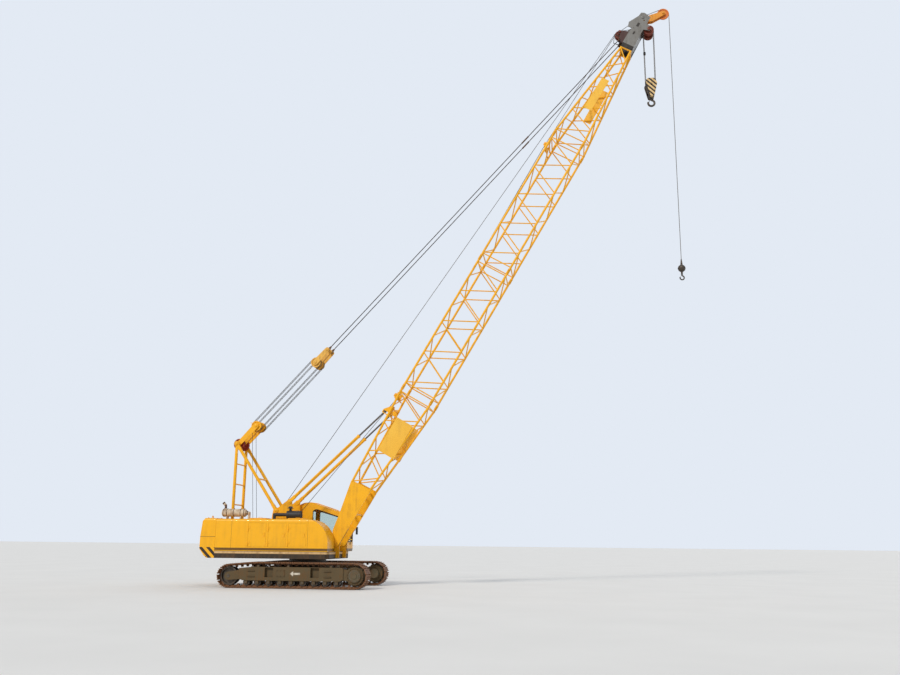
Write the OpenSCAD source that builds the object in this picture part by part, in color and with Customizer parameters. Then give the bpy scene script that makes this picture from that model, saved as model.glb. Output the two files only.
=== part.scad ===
// Crawler crane of the 50 t class with a 25 m lattice boom, in millimetres.
// +X is the way the boom points, +Y is the crane's left side, +Z is up.
// Every module is drawn about the slew axis, and placed() moves it so that the
// origin lies under the middle of the whole machine, on the ground.

/* [Undercarriage] */
// Distance between the front sprocket's and the rear idler's shafts
tumbler_dist = 4800; // [4000:10:5600]
// Front sprocket's distance ahead of the slew axis
sprocket_x = 2370; // [2000:10:2700]
// Distance between the middles of the two tracks
gauge = 3540; // [3300:10:3800]
// Width of a track shoe
shoe_w = 760; // [600:10:860]
// Number of shoes on each track
shoe_n = 57; // [40:1:70]
// Radius of the tread round the sprocket
tread_r_front = 475; // [440:5:520]
// Radius of the tread round the idler
tread_r_rear = 435; // [400:5:470]
// Pin line of the shoes above their tread
pad_h = 65; // [50:1:80]
// Pin line of the shoes to the face that the rollers run on
link_h = 25; // [15:1:35]
// Gap between two shoes at the tread
shoe_gap = 16; // [8:1:30]
// Number of rollers under each track frame
roller_n = 9; // [6:1:10]
// Pitch of those rollers
roller_p = 430; // [330:5:440]
// Radius of a lower roller
roller_r = 125; // [100:1:135]
// Radius of an upper roller
carrier_r = 62; // [45:1:75]
// Lower edge of the track frames
frame_z = 280; // [260:5:320]
// Height of the track frames
frame_h = 490; // [400:5:500]
// Width of the track frames
frame_w = 600; // [520:10:640]
// Distance of each cross beam from the slew axis
beam_x = 870; // [700:10:1000]
// Width of a cross beam
beam_w = 320; // [240:10:400]
// Height of a cross beam
beam_h = 350; // [250:10:380]
// Outer radius of the slew ring
slew_r = 720; // [600:10:760]

/* [Upper works] */
// Underside of the revolving deck
deck_z = 1060; // [1020:5:1120]
// Height of the deck's skirt
skirt_h = 270; // [200:10:320]
// Roof of the machine houses
roof_z = 2520; // [2300:10:2700]
// Half of the width over the houses
house_y = 1650; // [1500:10:1700]
// Thickness of the houses' sheet walls
wall = 40; // [25:1:60]
// Radius of the houses' rounded front top edge
nose_r = 880; // [500:10:1000]
// Front edge of the deck ahead of the slew axis
deck_front = 1250; // [1200:10:1350]
// Seam between houses and counterweight behind the slew axis
seam_x = 3190; // [3000:10:3300]
// Tail radius round the slew axis
tail_r = 4130; // [4000:10:4300]
// Height of the seam between the two counterweight blocks
block_seam_z = 1850; // [1700:10:2000]
// Thickness of the two main webs that carry boom, gantry and winches
web_t = 60; // [40:1:70]
// Distance of each main web's middle from the centre line
web_y = 550; // [520:5:560]
// Winch shaft height
winch_z = 1750; // [1700:10:1800]
// Width of a house door
door_w = 700; // [500:10:720]
// Height of a house door
door_h = 880; // [600:10:900]

/* [Cab] */
// Rear wall of the cab behind the slew axis
cab_rear = 700; // [600:10:760]
// Front wall of the cab ahead of the slew axis
cab_front = 1390; // [1300:10:1450]
// Right wall of the cab from the centre line
cab_right = 680; // [660:5:760]
// Left wall of the cab from the centre line
cab_left = 1640; // [1560:5:1650]
// Thickness of the cab's walls
cab_wall = 50; // [35:1:70]
// Thickness of the window panes
pane_t = 8; // [5:1:12]

/* [Gantry] */
// Top shaft of the gantry behind the slew axis
gantry_x = 2970; // [2800:10:3050]
// Top shaft of the gantry above the ground
gantry_z = 5500; // [5000:10:5800]
// Radius of the gantry's tubes
gantry_r = 60; // [45:1:62]
// Front leg's foot pin behind the slew axis
leg_foot_x = 1200; // [1150:5:1300]
// Front leg's foot pin above the ground
leg_foot_z = 2870; // [2800:10:2950]
// Backstop's foot pin behind the slew axis
stop_foot_x = 680; // [640:5:750]
// Backstop's foot pin above the ground
stop_foot_z = 3220; // [3150:10:3300]

/* [Boom] */
// Boom foot pin ahead of the slew axis
foot_x = 1250; // [1200:5:1300]
// Boom foot pin above the ground
foot_z = 1660; // [1600:5:1700]
// Angle of the boom above the horizontal
boom_angle = 60; // [55:1:65]
// Length of the base section from the foot pin
base_l = 6500; // [6300:10:6700]
// Length of each insert section
insert_l = 6100; // [6000:10:6200]
// Length of the top section as far as the head plates
top_l = 4900; // [4700:10:5000]
// Distance between belly and back chords
chord_d = 1300; // [1200:10:1400]
// Distance between left and right chords
chord_w = 1400; // [1360:10:1440]
// Boom's middle line towards its back from the foot pin
foot_off = 190; // [150:5:220]
// Radius of a chord tube
chord_r = 45; // [38:1:50]
// Radius of a bracing tube
brace_r = 24; // [18:1:28]
// Bays of lattice in one insert
bay_n = 4; // [3:1:5]
// Length of one lattice bay
bay_l = 1425; // [1350:5:1440]

/* [Hooks] */
// Rope radius of the hoists
rope_r = 11; // [8:0.5:14]
// Pitch radius of the main head sheaves and block sheaves
sheave_r = 200; // [180:5:230]
// Block sheave shaft below the head sheave shaft
block_drop = 2480; // [2000:10:4000]
// Auxiliary ball below its head sheave
ball_drop = 11400; // [8000:50:14000]
// Radius of the auxiliary ball
ball_r = 150; // [120:5:180]

/* [Hidden] */
$fn = 48;

// Running fit between pieces that seat on one another
fit = 0.3;
// Clearance between pieces that move past one another
gap = 8;

// Boom stations along the boom from the foot pin
top_start = base_l + 2 * insert_l;
head_root = top_start + top_l;

// Boom head: shafts past the end of the top section, and towards its back
head_u = head_root + 1270;
head_v = -300;
guide_u = head_root + 600;
guide_v = 730;
rooster_u = head_u + 1060;
rooster_v = -440;
rooster_r = 235;
anchor_u = head_root + 450;
anchor_v = 560;

// Backstop eye on the boom
eye_u = 5300;
eye_v = 1000;

// Reach of the auxiliary ball in front, and the middle of the whole machine
function boom_x(u, v) = foot_x + u * cos(boom_angle) - v * sin(boom_angle);
function boom_z(u, v) = foot_z + u * sin(boom_angle) + v * cos(boom_angle);
front_x = boom_x(rooster_u, rooster_v) + rooster_r + rope_r + fit + ball_r;
mid_x = (front_x - tail_r) / 2;

// Paint
yellow = "#f2b01e";
dark_green = "#4a4c40";
rusty = "#6d4f3a";
steel = "#5d5f60";
black = "#26272a";
grey = "#9a9a96";
pane = "#8fb0b8";

module placed() {
    translate([-mid_x, 0, 0]) children();
}

// Children mirrored to the right for side -1, as drawn for side 1
module on_side(side) {
    mirror([0, side < 0 ? 1 : 0, 0]) children();
}

// Both sides at once
module both() {
    for (side = [-1, 1]) on_side(side) children();
}

// Flat outline in X and Z, drawn t thick about y
module slab(y, t) {
    translate([0, y, 0]) rotate([90, 0, 0]) linear_extrude(height = t, center = true) children();
}

// Turned piece whose axis lies along Y: the outline is radius by distance
module turned(x, z) {
    translate([x, 0, z]) rotate([-90, 0, 0]) rotate_extrude() children();
}

// Plain round bar along Y
module pin_y(x, z, y0, y1, r) {
    translate([x, y0, z]) rotate([-90, 0, 0]) cylinder(h = y1 - y0, r = r);
}

// Round bar between two points, turned about itself
module bar(p, q, r, turn = 0) {
    d = q - p;
    h = norm(d);
    translate(p) rotate([0, acos(d[2] / h), atan2(d[1], d[0])]) rotate([0, 0, turn]) cylinder(h = h, r = r);
}

// Box from its lower to its upper corner
module box(a, b) {
    translate(a) cube(b - a);
}

function unit(v) = v / norm(v);
function turn_angle(a, b) = acos(max(-1, min(1, a * b)));

// Convex outline with a true arc of radius rs[i] at each corner
module soft(pts, rs) {
    n = len(pts);
    fillets = [for (i = [0 : n - 1]) let (
        a = unit(pts[(i + n - 1) % n] - pts[i]),
        b = unit(pts[(i + 1) % n] - pts[i]),
        half = turn_angle(a, b) / 2,
        t = rs[i] / tan(half)
    ) [pts[i] + a * t, pts[i] + b * t, pts[i] + unit(a + b) * rs[i] / sin(half), rs[i]]];
    polygon([for (f = fillets) each (f[3] > 0 ? [f[0], f[1]] : [f[0]])]);
    for (i = [0 : n - 1]) if (rs[i] > 0) {
        f = fillets[i];
        out = unit(pts[i] - f[2]) * f[3];
        intersection() {
            translate(f[2]) circle(r = f[3]);
            polygon([f[0], f[1], f[1] + out, f[0] + out]);
        }
    }
}

// Bar of flat outline with round ends between two points in X and Z
module link(p, q, r0, r1) {
    d = q - p;
    a = atan2(d[1], d[0]);
    k = acos((r0 - r1) / norm(d));
    polygon([
        p + r0 * [cos(a + k), sin(a + k)], q + r1 * [cos(a + k), sin(a + k)],
        q + r1 * [cos(a - k), sin(a - k)], p + r0 * [cos(a - k), sin(a - k)]
    ]);
    translate(p) circle(r = r0);
    translate(q) circle(r = r1);
}

// Track path: pins of the shoes round sprocket, upper rollers and idler
idler_x = sprocket_x - tumbler_dist;
rim_front = tread_r_front - pad_h;
rim_rear = tread_r_rear - pad_h;
knee_x = -1500;
c_front = [sprocket_x, tread_r_front];
c_rear = [idler_x, tread_r_rear];
knee = [knee_x, tread_r_front + rim_front];
knee_d = norm(knee - c_rear);
rear_a = atan2(knee[1] - c_rear[1], knee[0] - c_rear[0]) + acos(rim_rear / knee_d);
rear_top = c_rear + rim_rear * [cos(rear_a), sin(rear_a)];
// Lengths of bottom run, front wrap, level run, slope and rear wrap
run = [
    tumbler_dist,
    PI * rim_front,
    sprocket_x - knee_x,
    norm(knee - rear_top),
    PI * rim_rear * (270 - rear_a) / 180
];
end = [run[0], run[0] + run[1], run[0] + run[1] + run[2], run[0] + run[1] + run[2] + run[3]];
track_l = end[3] + run[4];
pitch = track_l / shoe_n;
function on_circle(c, r, a) = c + r * [cos(a), sin(a)];
function wrap(s) = s - track_l * floor(s / track_l);
function path(s) = s < end[0] ? [idler_x + s, pad_h]
    : s < end[1] ? on_circle(c_front, rim_front, (s - end[0]) / rim_front * 180 / PI - 90)
    : s < end[2] ? [sprocket_x - (s - end[1]), knee[1]]
    : s < end[3] ? knee + (rear_top - knee) * (s - end[2]) / run[3]
    : on_circle(c_rear, rim_rear, rear_a + (s - end[3]) / rim_rear * 180 / PI);
function pin_at(k) = path(wrap(k * pitch));
// One shoe's frame: pin, next pin, direction and outward normal
function shoe(k) = let (p = pin_at(k), q = pin_at(k + 1), t = unit(q - p)) [p, q, t, [t[1], -t[0]]];
// Point h outside the pin line at pin k, on the line that halves the joint
function at_pin(k, h) = let (a = shoe(k - 1), b = shoe(k), m = unit(a[3] + b[3])) b[0] + m * h / (m * b[3]);
// Radius of a wheel that the shoes wrap as flats
function wheel_r(rim) = rim * cos(pitch / rim * 90 / PI) - link_h - fit;

lug_w = 120;
lug_h = 65;

module track_loop() {
    outer = [for (k = [0 : shoe_n - 1]) let (s = shoe(k)) each [
        at_pin(k, pad_h - 30),
        s[0] + s[2] * shoe_gap / 2 + s[3] * pad_h,
        s[1] - s[2] * shoe_gap / 2 + s[3] * pad_h
    ]];
    inner = [for (k = [0 : shoe_n - 1]) at_pin(k, -link_h)];
    slab(0, shoe_w) difference() {
        polygon(outer);
        polygon(inner);
    }
    slab(0, lug_w) for (k = [0 : shoe_n - 1]) {
        s = shoe(k);
        m = (s[0] + s[1]) / 2;
        polygon([
            m - s[2] * 50 - s[3] * (link_h - 8), m + s[2] * 50 - s[3] * (link_h - 8),
            m + s[2] * 30 - s[3] * (link_h + lug_h), m - s[2] * 30 - s[3] * (link_h + lug_h)
        ]);
    }
}

module track(side) {
    color(rusty) placed() translate([0, side * gauge / 2, 0]) track_loop();
}

// Rolling faces lie on the flat of the links
path_z = pad_h + link_h;
roller_z = path_z + fit + roller_r;
top_path_z = tread_r_front + rim_front - link_h;
carrier_z = top_path_z - fit - carrier_r;
rim_in = lug_w / 2 + 5;
rim_out = rim_in + 120;
plate_y = rim_out + 45;
plate_t = 40;

// Outline of a double rimmed roller on its shaft
module roller_outline(r, hub, shaft, half) {
    polygon([
        [0, -half], [shaft, -half], [shaft, -rim_out], [r, -rim_out], [r, -rim_in],
        [hub, -rim_in], [hub, rim_in], [r, rim_in], [r, rim_out], [shaft, rim_out],
        [shaft, half], [0, half]
    ]);
}

function roller_x(i) = (i - (roller_n - 1) / 2) * roller_p + (sprocket_x + idler_x) / 2;
carrier_xs = [knee_x + 200, knee_x + 1350, sprocket_x - 900];
shaft_r = 28;
carrier_shaft_r = 20;

module rollers(side) {
    color(steel) placed() translate([0, side * gauge / 2, 0]) {
        for (i = [0 : roller_n - 1])
            turned(roller_x(i), roller_z) roller_outline(roller_r, 50, shaft_r, plate_y + plate_t);
        // Upper rollers stand in pairs, with the lugs between them
        for (x = carrier_xs) both()
            turned(x, carrier_z) polygon([[0, rim_in], [carrier_r, rim_in], [carrier_r, rim_out],
                [carrier_shaft_r, rim_out], [carrier_shaft_r, plate_y + plate_t], [0, plate_y + plate_t]]);
    }
}

tumbler_shaft_r = 100;
cover_r = 235;
teeth_n = 12;
tooth_gap = [46, 38];
// Tooth gaps follow the pin that lies foremost on the sprocket
tooth_k = round((end[0] + run[1] / 2) / pitch);
tooth_a = (tooth_k * pitch - end[0]) / rim_front * 180 / PI - 90;
module sprocket(side) {
    r = wheel_r(rim_front);
    hub = r - lug_h - 22;
    out = plate_y + plate_t;
    color(steel) placed() translate([0, side * gauge / 2, 0]) on_side(side) difference() {
        turned(sprocket_x, tread_r_front) polygon([
            [0, -out - 190], [170, -out - 190], [190, -out - 170], [190, -out - fit],
            [tumbler_shaft_r, -out - fit], [tumbler_shaft_r, -rim_out], [r - 30, -rim_out],
            [r, -rim_out + 20], [r, -rim_in], [hub, -rim_in], [hub, rim_in], [r, rim_in],
            [r, rim_out - 20], [r - 30, rim_out], [tumbler_shaft_r, rim_out],
            [tumbler_shaft_r, out + fit], [cover_r, out + fit], [cover_r, out + 55],
            [cover_r - 25, out + 75], [0, out + 75]
        ]);
        // Gaps between the teeth of both rims
        for (s = [-1, 1], k = [0 : teeth_n - 1])
            slab(s * (rim_in + rim_out) / 2, rim_out - rim_in + 2 * gap)
                translate(c_front) rotate(tooth_a + k * 360 / teeth_n)
                    translate([r - tooth_gap[1], -tooth_gap[0] / 2]) square([100, tooth_gap[0]]);
    }
}

idler_shaft_r = 60;
module idler(side) {
    r = wheel_r(rim_rear);
    out = plate_y + plate_t;
    color(steel) placed() translate([0, side * gauge / 2, 0])
        turned(idler_x, tread_r_rear) polygon([
            [0, -out - 12], [idler_shaft_r, -out - 12], [idler_shaft_r, -rim_out], [110, -rim_out],
            [130, -rim_in - 30], [r - 60, -rim_in - 30], [r - 45, -rim_out], [r, -rim_out],
            [r, -rim_in], [r - lug_h - 25, -rim_in], [r - lug_h - 25, rim_in], [r, rim_in],
            [r, rim_out], [r - 45, rim_out], [r - 60, rim_in + 30], [130, rim_in + 30],
            [110, rim_out], [idler_shaft_r, rim_out], [idler_shaft_r, out + 12], [0, out + 12]
        ]);
}

girder_rear = -2020;
girder_front = 1940;
module track_frame(side) {
    y0 = plate_y;
    y1 = plate_y + plate_t;
    color(dark_green) placed() translate([0, side * gauge / 2, 0]) difference() {
        union() {
            // Girder with sloped ends
            slab(0, frame_w) polygon([
                [girder_rear, frame_z + 60], [girder_rear + 140, frame_z],
                [girder_front - 140, frame_z], [girder_front, frame_z + 60],
                [girder_front, frame_z + frame_h - 30], [girder_front - 60, frame_z + frame_h],
                [knee_x, frame_z + frame_h], [girder_rear, frame_z + frame_h - 50]
            ]);
            for (s = [-1, 1]) {
                // Round plates that hold the sprocket, and the idler's yoke
                slab(s * (y0 + y1) / 2, plate_t) {
                    translate(c_front) circle(r = 320);
                    polygon([[girder_front - 200, frame_z + 60], [sprocket_x, c_front[1] - 200],
                        [sprocket_x, c_front[1] + 200], [girder_front - 200, frame_z + frame_h - 30]]);
                    link([girder_rear + 100, tread_r_rear + 60], c_rear, 170, 150);
                }
                // Collars under the girder for the roller shafts
                for (i = [0 : roller_n - 1])
                    box([roller_x(i) - 60, s * (y0 + y1) / 2 - plate_t / 2, roller_z - 45],
                        [roller_x(i) + 60, s * (y0 + y1) / 2 + plate_t / 2, frame_z + 5]);
                // Stands of the upper rollers
                for (x = carrier_xs)
                    box([x - 45, s * (y0 + y1) / 2 - plate_t / 2, frame_z + frame_h - 5],
                        [x + 45, s * (y0 + y1) / 2 + plate_t / 2, carrier_z + 32]);
            }
        }
        // Channel over the rollers
        box([girder_rear - 1, -rim_out - gap, frame_z - 1],
            [girder_front + 1, rim_out + gap, roller_z + roller_r + gap]);
        // Wells of the upper rollers
        for (x = carrier_xs)
            box([x - carrier_r - 20, -rim_out - gap, frame_z + frame_h - 60],
                [x + carrier_r + 20, rim_out + gap, frame_z + frame_h + 1]);
        // Sockets of the cross beams
        for (x = [-beam_x, beam_x])
            box([x - beam_w / 2, -frame_w, frame_z + 120], [x + beam_w / 2, frame_w, frame_z + 120 + beam_h]);
        // Shaft bores
        for (i = [0 : roller_n - 1])
            pin_y(roller_x(i), roller_z, -frame_w, frame_w, shaft_r + fit);
        for (x = carrier_xs)
            pin_y(x, carrier_z, -frame_w, frame_w, carrier_shaft_r + fit);
        pin_y(c_front[0], c_front[1], -frame_w, frame_w, tumbler_shaft_r + fit);
        pin_y(c_rear[0], c_rear[1], -frame_w, frame_w, idler_shaft_r + fit);
    }
}

ring_seat_z = 930;
// Cross beams end inside the track frames, short of the outer face
beam_end = gauge / 2 + frame_w / 2 - 140;
tow_x = 1240;
tow_z = 535;
tow_r = 35;
module carbody() {
    color(dark_green) placed() difference() {
        union() {
            for (x = [-beam_x, beam_x])
                box([x - beam_w / 2 + fit, -beam_end, frame_z + 120 + fit],
                    [x + beam_w / 2 - fit, beam_end, frame_z + 120 + beam_h - fit]);
            // Box between the tracks with cut corners
            translate([0, 0, 420]) linear_extrude(height = 460) polygon([
                [-1150, -620], [-780, -1000], [780, -1000], [1150, -620],
                [1150, 620], [780, 1000], [-780, 1000], [-1150, 620]
            ]);
            translate([0, 0, 800]) cylinder(h = ring_seat_z - 800, r = slew_r + 60, $fn = 72);
            // Towing plates in front and behind
            for (s = [-1, 1]) translate([0, 0, tow_z]) linear_extrude(height = 50) {
                translate([s * tow_x, 0]) circle(r = 90);
                polygon([[s * (tow_x - 140), -180], [s * tow_x, -90], [s * tow_x, 90], [s * (tow_x - 140), 180]]);
            }
        }
        for (s = [-1, 1]) translate([s * tow_x, 0, tow_z - 10]) cylinder(h = 70, r = tow_r);
        translate([0, 0, 300]) cylinder(h = 800, r = 260);
    }
}

module slew_ring() {
    color(steel) placed() rotate_extrude($fn = 72) polygon([
        [slew_r - 160, ring_seat_z + fit], [slew_r, ring_seat_z + fit], [slew_r, ring_seat_z + 50],
        [slew_r - 15, ring_seat_z + 55], [slew_r - 15, ring_seat_z + 65], [slew_r, ring_seat_z + 70],
        [slew_r, deck_z - fit], [slew_r - 160, deck_z - fit]
    ]);
}

// Upper works
skirt_z = deck_z + skirt_h;
web_top = 2000;
// Winch drums: distance behind the slew axis, drum radius, flange radius
winches = [[950, 250, 325], [1640, 250, 325]];
luffing_drum = [2420, 215, 300];
winch_shaft_r = 60;
leg_foot = [-leg_foot_x, leg_foot_z];
stop_foot = [-stop_foot_x, stop_foot_z];
mast_foot = [-gantry_x, web_top - 95];
gantry_top = [-gantry_x, gantry_z];
eye_r = 40;
foot_pin_r = 60;
// Reach of the webs in front of the boom foot pin
post_out = 140;

// Deck outline seen from above, t in from the outside
deck_r = 180;
module deck_plan(t) {
    soft([[-seam_x + t, -house_y + t], [deck_front - t, -house_y + t],
        [deck_front - t, house_y - t], [-seam_x + t, house_y - t]], [0, deck_r - t, deck_r - t, 0]);
}

module upper_frame() {
    color(black) placed() difference() {
        union() {
            // Deck plate and skirt
            difference() {
                translate([0, 0, deck_z]) linear_extrude(height = skirt_h) deck_plan(0);
                translate([0, 0, deck_z - 1]) linear_extrude(height = skirt_h - wall + 1) deck_plan(wall);
            }
            translate([0, 0, deck_z]) cylinder(h = skirt_h - 20, r = slew_r + 40, $fn = 72);
            // Main webs with winch stands, gantry brackets and boom foot lugs
            for (s = [-1, 1]) slab(s * web_y, web_t) {
                polygon([
                    [-seam_x, deck_z + 30], [foot_x + post_out, deck_z + 30], [foot_x + post_out, foot_z - 80],
                    [foot_x - 60, foot_z + 155], [300, skirt_z + 260], [-300, web_top], [-seam_x, web_top]
                ]);
                translate([foot_x, foot_z]) circle(r = 165);
                translate(leg_foot) circle(r = 120);
                translate(stop_foot) circle(r = 100);
                polygon([leg_foot + [-120, 0], [-leg_foot_x - 250, web_top - 10], [-stop_foot_x + 180, web_top - 10],
                    stop_foot + [100, 0], stop_foot + [0, 100], stop_foot + [-95, 30], leg_foot + [60, 104]]);
            }
            // Cross members between the webs
            for (x = [-2950, -500]) box([x - 25, -web_y, deck_z + 30], [x + 25, web_y, skirt_z + 120]);
            bar([-leg_foot_x + 120, -web_y, 2500], [-leg_foot_x + 120, web_y, 2500], 50);
        }
        pin_y(foot_x, foot_z, -web_y - 90, web_y + 90, foot_pin_r + fit);
        for (p = [leg_foot, stop_foot, mast_foot])
            pin_y(p[0], p[1], -web_y - 90, web_y + 90, eye_r + fit);
        for (w = winches)
            pin_y(-w[0], winch_z, -web_y - 90, web_y + 90, winch_shaft_r + fit);
        pin_y(-luffing_drum[0], winch_z, -web_y - 90, web_y + 90, winch_shaft_r + fit);
        translate([0, 0, deck_z - 1]) cylinder(h = skirt_h + 20, r = 200);
    }
}

// Machine houses: side outline, t in from the outside
house_front = 1200;
house_in = 640;
house_seam = seam_x - 5;
module nose_outline(t) {
    soft([[-house_seam + t, skirt_z + fit + t], [house_front - t, skirt_z + fit + t],
        [house_front - t, roof_z - t], [-house_seam + t, roof_z - t]], [0, 0, nose_r - t, 0]);
}

module box_outline(t) {
    polygon([[-house_seam + t, skirt_z + fit + t], [-cab_rear - 25 - t, skirt_z + fit + t],
        [-cab_rear - 25 - t, roof_z - t], [-house_seam + t, roof_z - t]]);
}

// Cross outline of a house, with a soft edge along the roof
module house_cross(t) {
    rotate([90, 0, 90]) translate([0, 0, -4000]) linear_extrude(height = 6000)
        soft([[house_in + t, 1000], [house_y - t, 1000], [house_y - t, roof_z - t], [house_in + t, roof_z - t]],
            [0, 0, 90 - t, 0]);
}

// Doors: distance of the rear edge behind the slew axis
door_z = skirt_z + 160;
doors_right = [1900, 1120, 340];
doors_left = [2400, 1600];
door_gap = 4;

module door_openings(list) {
    for (x = list)
        box([-x, house_y - wall - 20, door_z], [-x + door_w, house_y + 20, door_z + door_h]);
}

module house_right() {
    color(yellow) placed() on_side(-1) difference() {
        intersection() {
            slab((house_in + house_y) / 2, house_y - house_in) nose_outline(0);
            house_cross(0);
        }
        intersection() {
            slab((house_in + house_y) / 2, house_y - house_in) nose_outline(wall);
            house_cross(wall);
        }
        door_openings(doors_right);
    }
    color(yellow) placed() on_side(-1) house_knuckles(doors_right);
}

module house_left() {
    color(yellow) placed() difference() {
        intersection() {
            slab((house_in + house_y) / 2, house_y - house_in) box_outline(0);
            house_cross(0);
        }
        intersection() {
            slab((house_in + house_y) / 2, house_y - house_in) box_outline(wall);
            house_cross(wall);
        }
        door_openings(doors_left);
    }
    color(yellow) placed() house_knuckles(doors_left);
}

// Hinge line of a house door or cab door: on the rear edge, outside the skin
hinge_out = 14;
knuckle_r = 12;
knuckle_h = 90;
module knuckle(x, y, z, dir) {
    translate([x, y + hinge_out, z]) cylinder(h = knuckle_h, r = knuckle_r);
    box([min(x, x + dir * 60), y - 2, z], [max(x, x + dir * 60), y + 12, z + knuckle_h]);
}

// Door leaf with its two hinge knuckles on the rear edge
module door(x, side) {
    color(yellow) placed() on_side(side) {
        box([-x + door_gap, house_y - 30, door_z + door_gap],
            [-x + door_w - door_gap, house_y, door_z + door_h - door_gap]);
        for (z = [door_z + 120, door_z + door_h - 220])
            knuckle(-x + door_gap, house_y, z, 1);
        // Handle
        box([-x + door_w - 90, house_y - 5, door_z + door_h / 2 - 60],
            [-x + door_w - 60, house_y + 14, door_z + door_h / 2 + 60]);
    }
}

// The house's half of each hinge, under the door's knuckle
module house_knuckles(list) {
    for (x = list, z = [door_z + 120, door_z + door_h - 220])
        knuckle(-x + door_gap, house_y, z - knuckle_h - fit, -1);
}

// Counterweight: side outline turned round the slew axis, cut to the houses'
// width; chamfers below and above as depth and height, lean of the upper block
tail_cut = [230, 340];
tail_lean = 60;
tail_bevel = [90, 110];
tail_top = roof_z + 20;
tail_edge = 90;
module tail_body() {
    rotate_extrude($fn = 180) polygon([[seam_x - 500, deck_z], [tail_r - tail_cut[0], deck_z],
        [tail_r, deck_z + tail_cut[1]], [tail_r, block_seam_z], [tail_r - tail_lean, tail_top - tail_bevel[1]],
        [tail_r - tail_lean - tail_bevel[0], tail_top], [seam_x - 500, tail_top]]);
}

module counterweight_lower() {
    color(yellow) placed() difference() {
        intersection() {
            tail_body();
            box([-tail_r - 10, -house_y, deck_z - 10], [-seam_x - fit, house_y, block_seam_z - fit]);
        }
        // Lifting slot across the underside
        box([-seam_x - 600, -house_y - 1, deck_z - 1], [-seam_x - 300, house_y + 1, deck_z + 60]);
    }
}

module counterweight_upper() {
    color(yellow) placed() intersection() {
        tail_body();
        rotate([90, 0, -90]) translate([0, 0, seam_x + fit]) linear_extrude(height = tail_r - seam_x)
            soft([[-house_y, block_seam_z], [house_y, block_seam_z], [house_y, tail_top + 1], [-house_y, tail_top + 1]],
                [0, 0, tail_edge, tail_edge]);
    }
}

module engine() {
    color(steel) placed() box([-3050, -1500, skirt_z + wall + 2 * fit], [-1980, -760, skirt_z + 900]);
}

// Drum with flanges, drawn about its own shaft
module drum_outline(r, flange, half) {
    polygon([[0, -half], [winch_shaft_r, -half], [winch_shaft_r, -web_y + web_t / 2 + 12],
        [flange, -web_y + web_t / 2 + 12], [flange, -web_y + web_t / 2 + 37], [r, -web_y + web_t / 2 + 37],
        [r, web_y - web_t / 2 - 37], [flange, web_y - web_t / 2 - 37], [flange, web_y - web_t / 2 - 12],
        [winch_shaft_r, web_y - web_t / 2 - 12], [winch_shaft_r, half], [0, half]]);
}

module hoist_winches() {
    color(steel) placed() for (w = winches)
        turned(-w[0], winch_z) drum_outline(w[1], w[2], web_y + web_t / 2 + 15);
}

module luffing_winch() {
    color(steel) placed() turned(-luffing_drum[0], winch_z)
        drum_outline(luffing_drum[1], luffing_drum[2], web_y + web_t / 2 + 15);
}

// Fork over a web: two eyes at p, joined to a tube towards q
fork_t = 28;
fork_l = 290;
module fork(p, q, y, r, pin_r) {
    d = unit(q - p);
    a = atan2(d[1], d[0]);
    translate([p[0], y, p[1]]) rotate([0, -a, 0]) {
        for (s = [-1, 1]) slab(s * (web_t / 2 + fit + fork_t / 2), fork_t) {
            circle(r = r + 30);
            translate([0, -r]) square([fork_l, 2 * r]);
        }
        box([fork_l - 90, -web_t / 2 - 1, -r], [fork_l, web_t / 2 + 1, r]);
        pin_y(0, 0, -web_t / 2 - fit - fork_t - 8, web_t / 2 + fit + fork_t + 8, pin_r);
    }
}

module tube_y(p, q, y, r) {
    bar([p[0], y, p[1]], [q[0], y, q[1]], r);
}

module gantry_front_legs() {
    d = unit(gantry_top - leg_foot);
    color(yellow) placed() {
        for (s = [-1, 1]) {
            fork(leg_foot, gantry_top, s * web_y, gantry_r, eye_r);
            tube_y(leg_foot + d * (fork_l - 60), gantry_top - d * (fork_l - 60), s * web_y, gantry_r);
            top_fork(s);
        }
        m = leg_foot + d * 1500;
        bar([m[0], -web_y, m[1]], [m[0], web_y, m[1]], 32);
    }
}

// Upper fork of a front leg, bored for the gantry's top shaft
top_shaft_r = 50;
module top_fork(s) {
    d = unit(leg_foot - gantry_top);
    a = atan2(d[1], d[0]);
    translate([gantry_top[0], s * web_y, gantry_top[1]]) rotate([0, -a, 0]) difference() {
        union() {
            for (k = [-1, 1]) slab(k * (web_t / 2 + fit + fork_t / 2), fork_t) {
                circle(r = gantry_r + 40);
                translate([0, -gantry_r]) square([fork_l, 2 * gantry_r]);
            }
            box([fork_l - 90, -web_t / 2 - 1, -gantry_r], [fork_l, web_t / 2 + 1, gantry_r]);
        }
        pin_y(0, 0, -200, 200, top_shaft_r + fit);
    }
}

rungs = [3100, 3900, 4700];
module gantry_mast() {
    color(yellow) placed() difference() {
        union() {
            for (s = [-1, 1]) {
                fork(mast_foot, gantry_top, s * web_y, gantry_r, eye_r);
                tube_y(mast_foot + [0, fork_l - 60], gantry_top - [0, 400], s * web_y, gantry_r);
                slab(s * web_y, web_t) {
                    translate(gantry_top) circle(r = gantry_r + 40);
                    translate(gantry_top + [-50, -460]) square([100, 460]);
                }
            }
            for (z = rungs) bar([-gantry_x, -web_y, z], [-gantry_x, web_y, z], 26);
        }
        pin_y(gantry_top[0], gantry_top[1], -web_y - 90, web_y + 90, top_shaft_r + fit);
    }
}

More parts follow.
